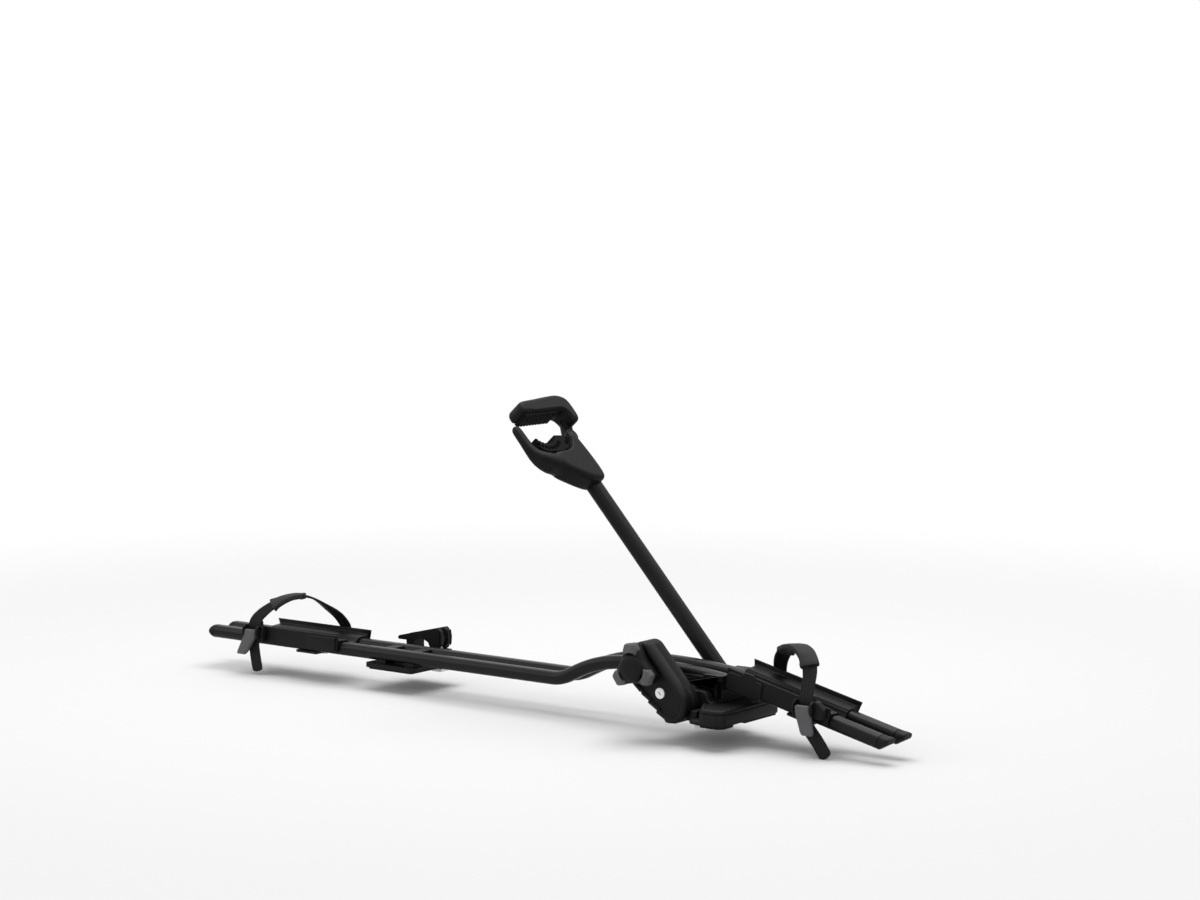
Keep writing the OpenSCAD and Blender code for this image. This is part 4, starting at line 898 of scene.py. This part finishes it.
def make_clamp():
    """The lower jaw: a palm on the arm's top with a far wall, a finger and two ears, in one moulding."""
    palm = smooth_loop([
        (78.5, -90), (78, -66), (74.5, -34), (70.5, -15), (67, -10.8), (60, -10.8), (55.5, -16), (50, -29),
        (41, -39.5), (27, -43.6), (10, -44), (-1, -46), (-5, -54), (-5, -66), (2, -77.5), (21, -90.5),
        (37, -100), (50, -105.5), (64, -107), (75, -103)], 6)
    solids = [pillow(palm, both_edges(CLAMP_REAR, CLAMP_FRONT, 6, 8, 6), clamp_point), make_thumb()]
    collar = []
    for s, grow in ((ARM_LEN - 22, 1), (ARM_LEN - 21, 2), (ARM_LEN - 12, 3), (ARM_LEN + 12, 4)):
        ring = box_loop(ARM_W + 2 * grow, ARM_D + 2 * grow, ARM_R, 6)
        collar.append([arm_point(q.x, ARM_Y + q.y, s) for q in ring])
    solids.append(loft(collar))
    ear = chain_loop([(ARM_Y - 5, -28, 10), (HINGE_Y, HINGE_V, HINGE_R)], 0, 20, 4)
    for low, high in ((-11.4, -5.4), (3.4, 9.4)):
        solids.append(pillow(ear, both_edges(low, high, 1, 1, 3), clamp_point))
    jaw = make_piece("clamp_moulding", join_solids(solids), "arm", BLACK, ["clamp_body"])
    melt(jaw, 18)


def cell_row(count, place, size, depth):
    """Small blind cells in a pad's front face: place(share) gives a cell's middle and its direction."""
    cells = []
    for k in range(count):
        middle, along = place((k + 0.5) / count)
        across = Vector((-along.y, along.x))
        loop = [middle + along * a + across * b for a, b in ((-size[0], -size[1]), (size[0], -size[1]),
                                                             (size[0], size[1]), (-size[0], size[1]))]
        cells.append(pillow(loop, [(0, depth[0]), (0, depth[1])], clamp_point))
    return join_solids(cells)


def make_pads():
    """Ribbed rubber in both jaws, with rows of cells in its front faces."""
    teeth, first, last = 10, math.radians(212), math.radians(332)
    root, crest = TUBE_R + 2.4, TUBE_R + 0.9
    loop = []
    for k in range(teeth):
        for share, r in ((0.0, root), (0.22, root), (0.34, crest), (0.78, crest), (0.9, root)):
            a = first + (last - first) * (k + share) / teeth
            loop.append(Vector((r * math.cos(a), r * math.sin(a))))
    loop += [Vector(q) for q in ((55, -17), (49.5, -29), (40.5, -39), (27, -43.1), (8, -43.5), (-9.5, -42.6),
                                 (-20.5, -39), (-26, -32.5), (-25.5, -24))]
    rear, front = CLAMP_REAR + 3, CLAMP_FRONT - 5
    levels = [(0.5, rear - 0.5), (0, rear), (0, front - 0.5), (0.5, front)]
    solid = pillow(list(reversed(loop)), levels, clamp_point)
    saddle = make_piece("saddle_ribs", solid, "arm", PAD, ["saddle_pad"], 30)

    def round_cell(share):
        a = math.radians(222) + math.radians(94) * share
        return 36.4 * Vector((math.cos(a), math.sin(a))), Vector((math.cos(a), math.sin(a)))

    def wide_cell(share):
        return Vector((38 + 13 * share, -33 + 12 * share)), Vector((0.7, 0.7))

    cut(saddle, cell_row(9, round_cell, (3.2, 2.3), (front - 4, front + 2)))
    cut(saddle, cell_row(3, wide_cell, (2.0, 3.6), (front - 4, front + 2)))
    count, y_start, y_end = 11, -10, 68
    flat = []
    for k in range(count):
        for share, v in ((0.0, root), (0.25, root), (0.36, crest), (0.86, crest), (0.97, root)):
            flat.append(Vector((y_start + (y_end - y_start) * (k + share) / count, v)))
    flat += [Vector(q) for q in ((y_end, 33), (50, 35.5), (20, 35), (y_start + 4, 35.5), (y_start - 1, 32.5))]
    solid = pillow(flat, levels, clamp_point)
    upper = make_piece("upper_jaw_ribs", solid, "upper_jaw", PAD, ["upper_jaw_pad"], 30)

    def flat_cell(share):
        return Vector((y_start + (y_end - y_start) * share, 31.9)), Vector((1, 0))

    cut(upper, cell_row(count, flat_cell, (2.2, 1.0), (front - 3, front + 2)))


def make_upper_jaw():
    """The swinging jaw: a rounded hook with a web down to its hinge."""
    hook = smooth_loop([
        (-14, 42), (-12, 34.5), (-2, 32.6), (30, 32.4), (68, 32.6), (84, 30), (90, 22), (92, 10), (99, 6),
        (108, 12), (110, 28), (109, 44), (103, 54), (88, 60), (66, 60), (30, 57.5), (0, 55.5), (-10, 51)], 8)
    solids = [pillow(hook, both_edges(CLAMP_REAR, CLAMP_FRONT, 6, 7, 6), clamp_point)]
    web = chain_loop([(HINGE_Y, HINGE_V, HINGE_R), (99, 18.3, 10)], 0, 20, 6)
    solids.append(pillow(web, both_edges(-5, 3, 1, 1, 3), clamp_point))
    jaw = make_piece("upper_jaw_moulding", join_solids(solids), "upper_jaw", BLACK, ["upper_jaw"])
    melt(jaw, 4)


# Trays, plates and the front shoe

def make_tray(end, start, length, floor, body):
    """A channel over both rails with rounded lips: its far wall's ends flare past its floor."""
    top = RAIL_H / 2
    inside = TRAY_HALF - TRAY_WALL
    rail_in, rail_top = RAIL_PITCH / 2 - RAIL_W / 2 - 0.4, top + 0.4
    half = [(7, floor, 2), (15, top + 2.5, 3), (inside, top + 4, 3), (inside + 0.6, top + TRAY_RISE, 1.4),
            (TRAY_HALF, top + TRAY_RISE, 1.4), (TRAY_HALF, TRAY_LIFT - top, 1.4),
            (inside, TRAY_LIFT - top, 1), (inside, rail_top, RAIL_R + 0.4), (rail_in, rail_top, 5),
            (rail_in, floor - 3, 0.4)]
    loop = rounded_loop(list(reversed([(-y, v, r) for y, v, r in half])) + half, 5)
    loop = list(reversed(loop))
    lip = top + 4
    rings = []
    for along, inset in ((0, 0.8), (0.25, 0.25), (0.9, 0), (18, 0), (length - 18, 0), (length - 0.9, 0),
                         (length - 0.25, 0.25), (length, 0.8)):
        flare = -1 if along < 1 else 1 if along > length - 1 else 0
        ring = []
        for q in inset_loop(loop, inset):
            reach = 0.8 * max(0.0, q.y - lip) if q.x > inside - 1 else 0.0
            ring.append(at_path(start, along + flare * reach, q.x, q.y))
        rings.append(ring)
    make_piece(end + "_tray_channel", loft(rings), body, TRAY, [end + "_tray"], 35)


def make_plates():
    """Bare plates on the near walls of the trays: the front one has a hump over its upper edge."""
    wall = -TRAY_HALF

    def on_front(u, v, depth):
        return at_path(path_step(FRONT_TRAY_START, PLATE_IN + PLATE_LEN / 2), u, depth, v)

    def on_rear(u, v, depth):
        return Vector((REAR_TRAY_END - PLATE_IN - PLATE_LEN / 2 + u, depth, RAIL_Z + v))

    half = PLATE_LEN / 2
    levels = list(reversed(both_edges(wall - PLATE_T, wall + 0.3, 1.6, 0.2, 4)))
    hump = rounded_loop([(-half, -10, 5), (half, -10, 5), (half, 18, 4), (20, 18.4, 5), (14, 26, 6),
                         (-2, 26, 6), (-9, 18.4, 5), (-half, 18, 5)])
    make_piece("front_bare_plate", pillow(hump, levels, on_front), "base", TRAY, ["front_plate"])
    flat = rounded_loop([(-half, -3, 3), (half, -3, 3), (half, 19, 3), (-half, 19, 3)])
    make_piece("rear_bare_plate", pillow(flat, levels, on_rear), "rear_tray", TRAY, ["rear_plate"])


def shoe_point(x, y, z):
    """A point of the shoe, drawn in plan."""
    return Vector((x, y, z))


def side_point(u, v, depth):
    """A point of a form drawn from the side: u along the car, v up and depth across."""
    return Vector((u, depth, v))


def circle_ring(r, y, turns):
    """A ring about the pivot's axis."""
    return [Vector((PIVOT.x + r * math.cos(a), y, PIVOT.z + r * math.sin(a))) for a in turns]


def make_shoe():
    """The front shoe: a deep tier under a thin one, the pivot block and its boss, and caps on the nuts."""
    plan = rounded_loop([(SHOE_BACK, BLOCK_NEAR - 4, 8), (SHOE_BACK + 25, -SHOE_NEAR, 12),
                         (SHOE_FRONT, -SHOE_NEAR, SHOE_R), (SHOE_FRONT, SHOE_FAR, SHOE_R),
                         (SHOE_BACK, SHOE_FAR, SHOE_R)], 10)
    lower = [(3.2, SHOE_LOW - 0.1), (1.2, SHOE_LOW + 0.4), (0.2, SHOE_LOW + 2), (0, SHOE_LOW + 4),
             (0, SHOE_PART - 1.4), (0.5, SHOE_PART - 0.5), (1.8, SHOE_PART)]
    upper = [(1.8, SHOE_PART), (0.8, SHOE_PART + 0.7)]
    upper += [(q + 0.8, d) for q, d in quarter(SHOE_TOP, 1, 4, 6)]
    upper += [(7, SHOE_TOP - 0.05), (7.8, SHOE_TOP - 0.9), (9, SHOE_TOP - 0.9)]
    turns = [2 * math.pi * k / 56 for k in range(56)]
    solids = [pillow(plan, lower, shoe_point), pillow(plan, upper, shoe_point)]
    block = rounded_loop([(BLOCK_REAR, BLOCK_NEAR, 4), (SHOE_BACK + 8, BLOCK_NEAR, 1),
                          (SHOE_BACK + 8, BLOCK_FAR, 1), (BLOCK_REAR, BLOCK_FAR, 4)])
    solids.append(pillow(block, both_edges(SHOE_LOW, PIVOT.z, 1, 2, 3), shoe_point))
    foot = rounded_loop([(SHOE_BACK + 1, BLOCK_NEAR - 2, 2), (SHOE_BACK + 3, -SHOE_NEAR + 1, 12),
                         (SHOE_BACK + 40, -SHOE_NEAR + 1, 1), (SHOE_BACK + 40, BLOCK_NEAR - 2, 1)])
    solids.append(pillow(foot, both_edges(SHOE_LOW - 0.1, SHOE_LOW + 6, 1.5, 2, 4), shoe_point))
    scoop = [(PIVOT.x + SCOOP_R * math.cos(math.radians(a)), PIVOT.z + SCOOP_R * math.sin(math.radians(a)), 0)
             for a in range(-45, -9, 5)]
    scoop += [(SHOE_BACK + 9, PIVOT.z - 5, 0), (SHOE_BACK + 9, SHOE_LOW + 0.5, 0)]
    fill = list(reversed(rounded_loop(scoop)))
    solids.append(pillow(fill, both_edges(BLOCK_NEAR - 30, BLOCK_NEAR + 2, 1.2, 0.5, 3), side_point))
    dome = [(NUT_CAP_R, SHOE_TOP - 2), (NUT_CAP_R, SHOE_TOP + 9), (NUT_CAP_R - 0.5, SHOE_TOP + 11),
            (5, SHOE_TOP + 12), (1, SHOE_TOP + 12.3)]
    for y in (-BOLT_Y, BOLT_Y):
        solids.append(loft([[Vector((r * math.cos(a), y + r * math.sin(a), z)) for a in turns]
                            for r, z in dome]))
    ledge = rounded_loop([(SHOE_BACK - 10, BLOCK_NEAR, 2), (SHOE_BACK + 18, BLOCK_NEAR, 2),
                          (SHOE_BACK + 18, SHOE_FAR + 12, 3), (SHOE_BACK - 10, SHOE_FAR + 12, 3)])
    solids.append(pillow(ledge, both_edges(SHOE_LOW, SHOE_TOP, 1, 1.5, 3), shoe_point))
    ends = (BLOCK_NEAR, BLOCK_FAR)
    solids.append(tube_skin([circle_ring(BOSS_R, y, turns) for y in ends],
                            [circle_ring(BUSH_R, y, turns) for y in ends]))
    make_piece("shoe_moulding", join_solids(solids), "base", BLACK, ["base_shoe"], 35)


def make_shoulder():
    """The round hub at the pivot, whose rim swings down over the near nut onto the shoe."""
    rim = [(PIVOT.x + HUB_R * math.cos(math.radians(a)), PIVOT.z + HUB_R * math.sin(math.radians(a)))
           for a in range(170, 49, -15)]
    flare = [(-3, 44), (5, 42.5), (10, 38), (12, 33), (15, SHOE_TOP + 2), (21, SHOE_TOP - 0.4),
             (22, SHOE_LOW + 6), (PIVOT.x, SHOE_LOW + 4), (PIVOT.x - HUB_R + 1, SHOE_LOW + 10)]
    hub = list(reversed(smooth_loop(rim + flare, 5)))
    solid = pillow(hub, both_edges(BLOCK_NEAR - 1.2, BLOCK_NEAR + 14, 2.6, 2, 5), side_point)
    shoulder = make_piece("pivot_shoulder", solid, "base", BLACK)
    cut(shoulder, cylinder_solid((PIVOT.x, BLOCK_NEAR - 4, PIVOT.z), (PIVOT.x, BLOCK_NEAR + 30, PIVOT.z),
                                 BOSS_R - 0.5, 48))


def make_bracket_ribs():
    """A web in the bracket's near side, and two ribs on it that part towards the front."""
    web = rounded_loop([(-46, 40, 3), (-6, 40, 1), (-6, 58, 1), (-46, 58, 3)])
    make_piece("bracket_web", pillow(web, both_edges(-42.5, -36.5, 1, 1, 3), side_point), "base", BLACK)
    ribs = rounded_loop([(-38, 52, 1.5), (14, 44.5, 0.8), (14, 47.5, 0.8), (-29, 52.6, 1), (22, 63.2, 0.8),
                         (22, 66.2, 0.8)])
    make_piece("bracket_ribs", pillow(ribs, both_edges(-49.5, -41, 0.8, 0.3, 3), side_point), "base", BLACK)


# Rear lever

def make_rear_lever():
    """The cam lever: a wedge with a hollow for the fingers, forked round its bolt, with a grooved nose."""
    pin = joint_place("rear_lever_swing")
    low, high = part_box("rear_lever")
    half = (high.y - low.y) / 2 / MM
    tip = low.x / MM - pin.x
    loop = rounded_loop([(tip, -5, 1), (tip + 3.4, -1.6, 2), (4, 17.6, 3), (11, 14, 2.5), (13, 4, 4),
                         (12, -9, 6), (2, -16.6, 8), (-9, -13.6, 6), (-14, -5, 4), (-32, 3.5, 3),
                         (-45, -4.9, 2)])

    def place(u, v, depth):
        return Vector((pin.x + u, pin.y + depth, pin.z + v))

    solid = pillow(loop, both_edges(-half, half, 1.6, 1.6, 4), place)
    lever = make_piece("cam_lever", solid, "rear_lever", BLACK, ["rear_lever"])
    cut(lever, cylinder_solid((pin.x, pin.y - half + 2.5, pin.z), (pin.x, pin.y + 40, pin.z), CAM_BORE_R, 40))
    slot = rounded_loop([(-20, -20, 0), (20, -20, 0), (20, 20, 0), (-20, 20, 0)])
    cut(lever, pillow(slot, [(0, -5.25), (0, 5.25)], place))
    groove = rounded_loop([(9.2, -18, 0), (10.6, -18, 0), (10.6, 20, 0), (9.2, 20, 0)])
    for side in (-1, 1):
        cut(lever, pillow(groove, [(0, side * half - 1.4), (0, side * half + 1.4)], place))


# Whole object

make_camera()
make_stage()
make_rails()
make_wheel_holds()
make_housing()
make_knob()
make_clamp()
make_pads()
make_upper_jaw()
make_rear_lever()
make_tray("front", FRONT_TRAY_START, FRONT_TRAY_BACK + FRONT_TRAY_LEN, FRONT_FLOOR, "base")
make_tray("rear", REAR_TRAY_START, REAR_TRAY_END - REAR_TRAY_START[0], REAR_FLOOR, "rear_tray")
make_plates()
make_shoe()
make_shoulder()
make_bracket_ribs()

for node_name, edge in (("rail_bracket", 1.2), ("rear_foot", 1.4), ("arm_knuckle", 1.2),
                        ("front_strap_anchor", 0.6), ("rear_strap_anchor", 0.6), ("base_pads", 0.6),
                        ("rear_foot_pad", 0.6), ("front_tray_clamp", 0.6), ("rear_tray_clamp", 0.6),
                        ("lock_barrel", 0.5), ("lock_plug", 0.3), ("front_slot_bolts", 0.5),
                        ("front_slot_nuts", 0.4), ("rear_slot_bolt", 0.5)):
    round_edges(node_name, edge)

bpy.context.scene.view_settings.view_transform = "Standard"
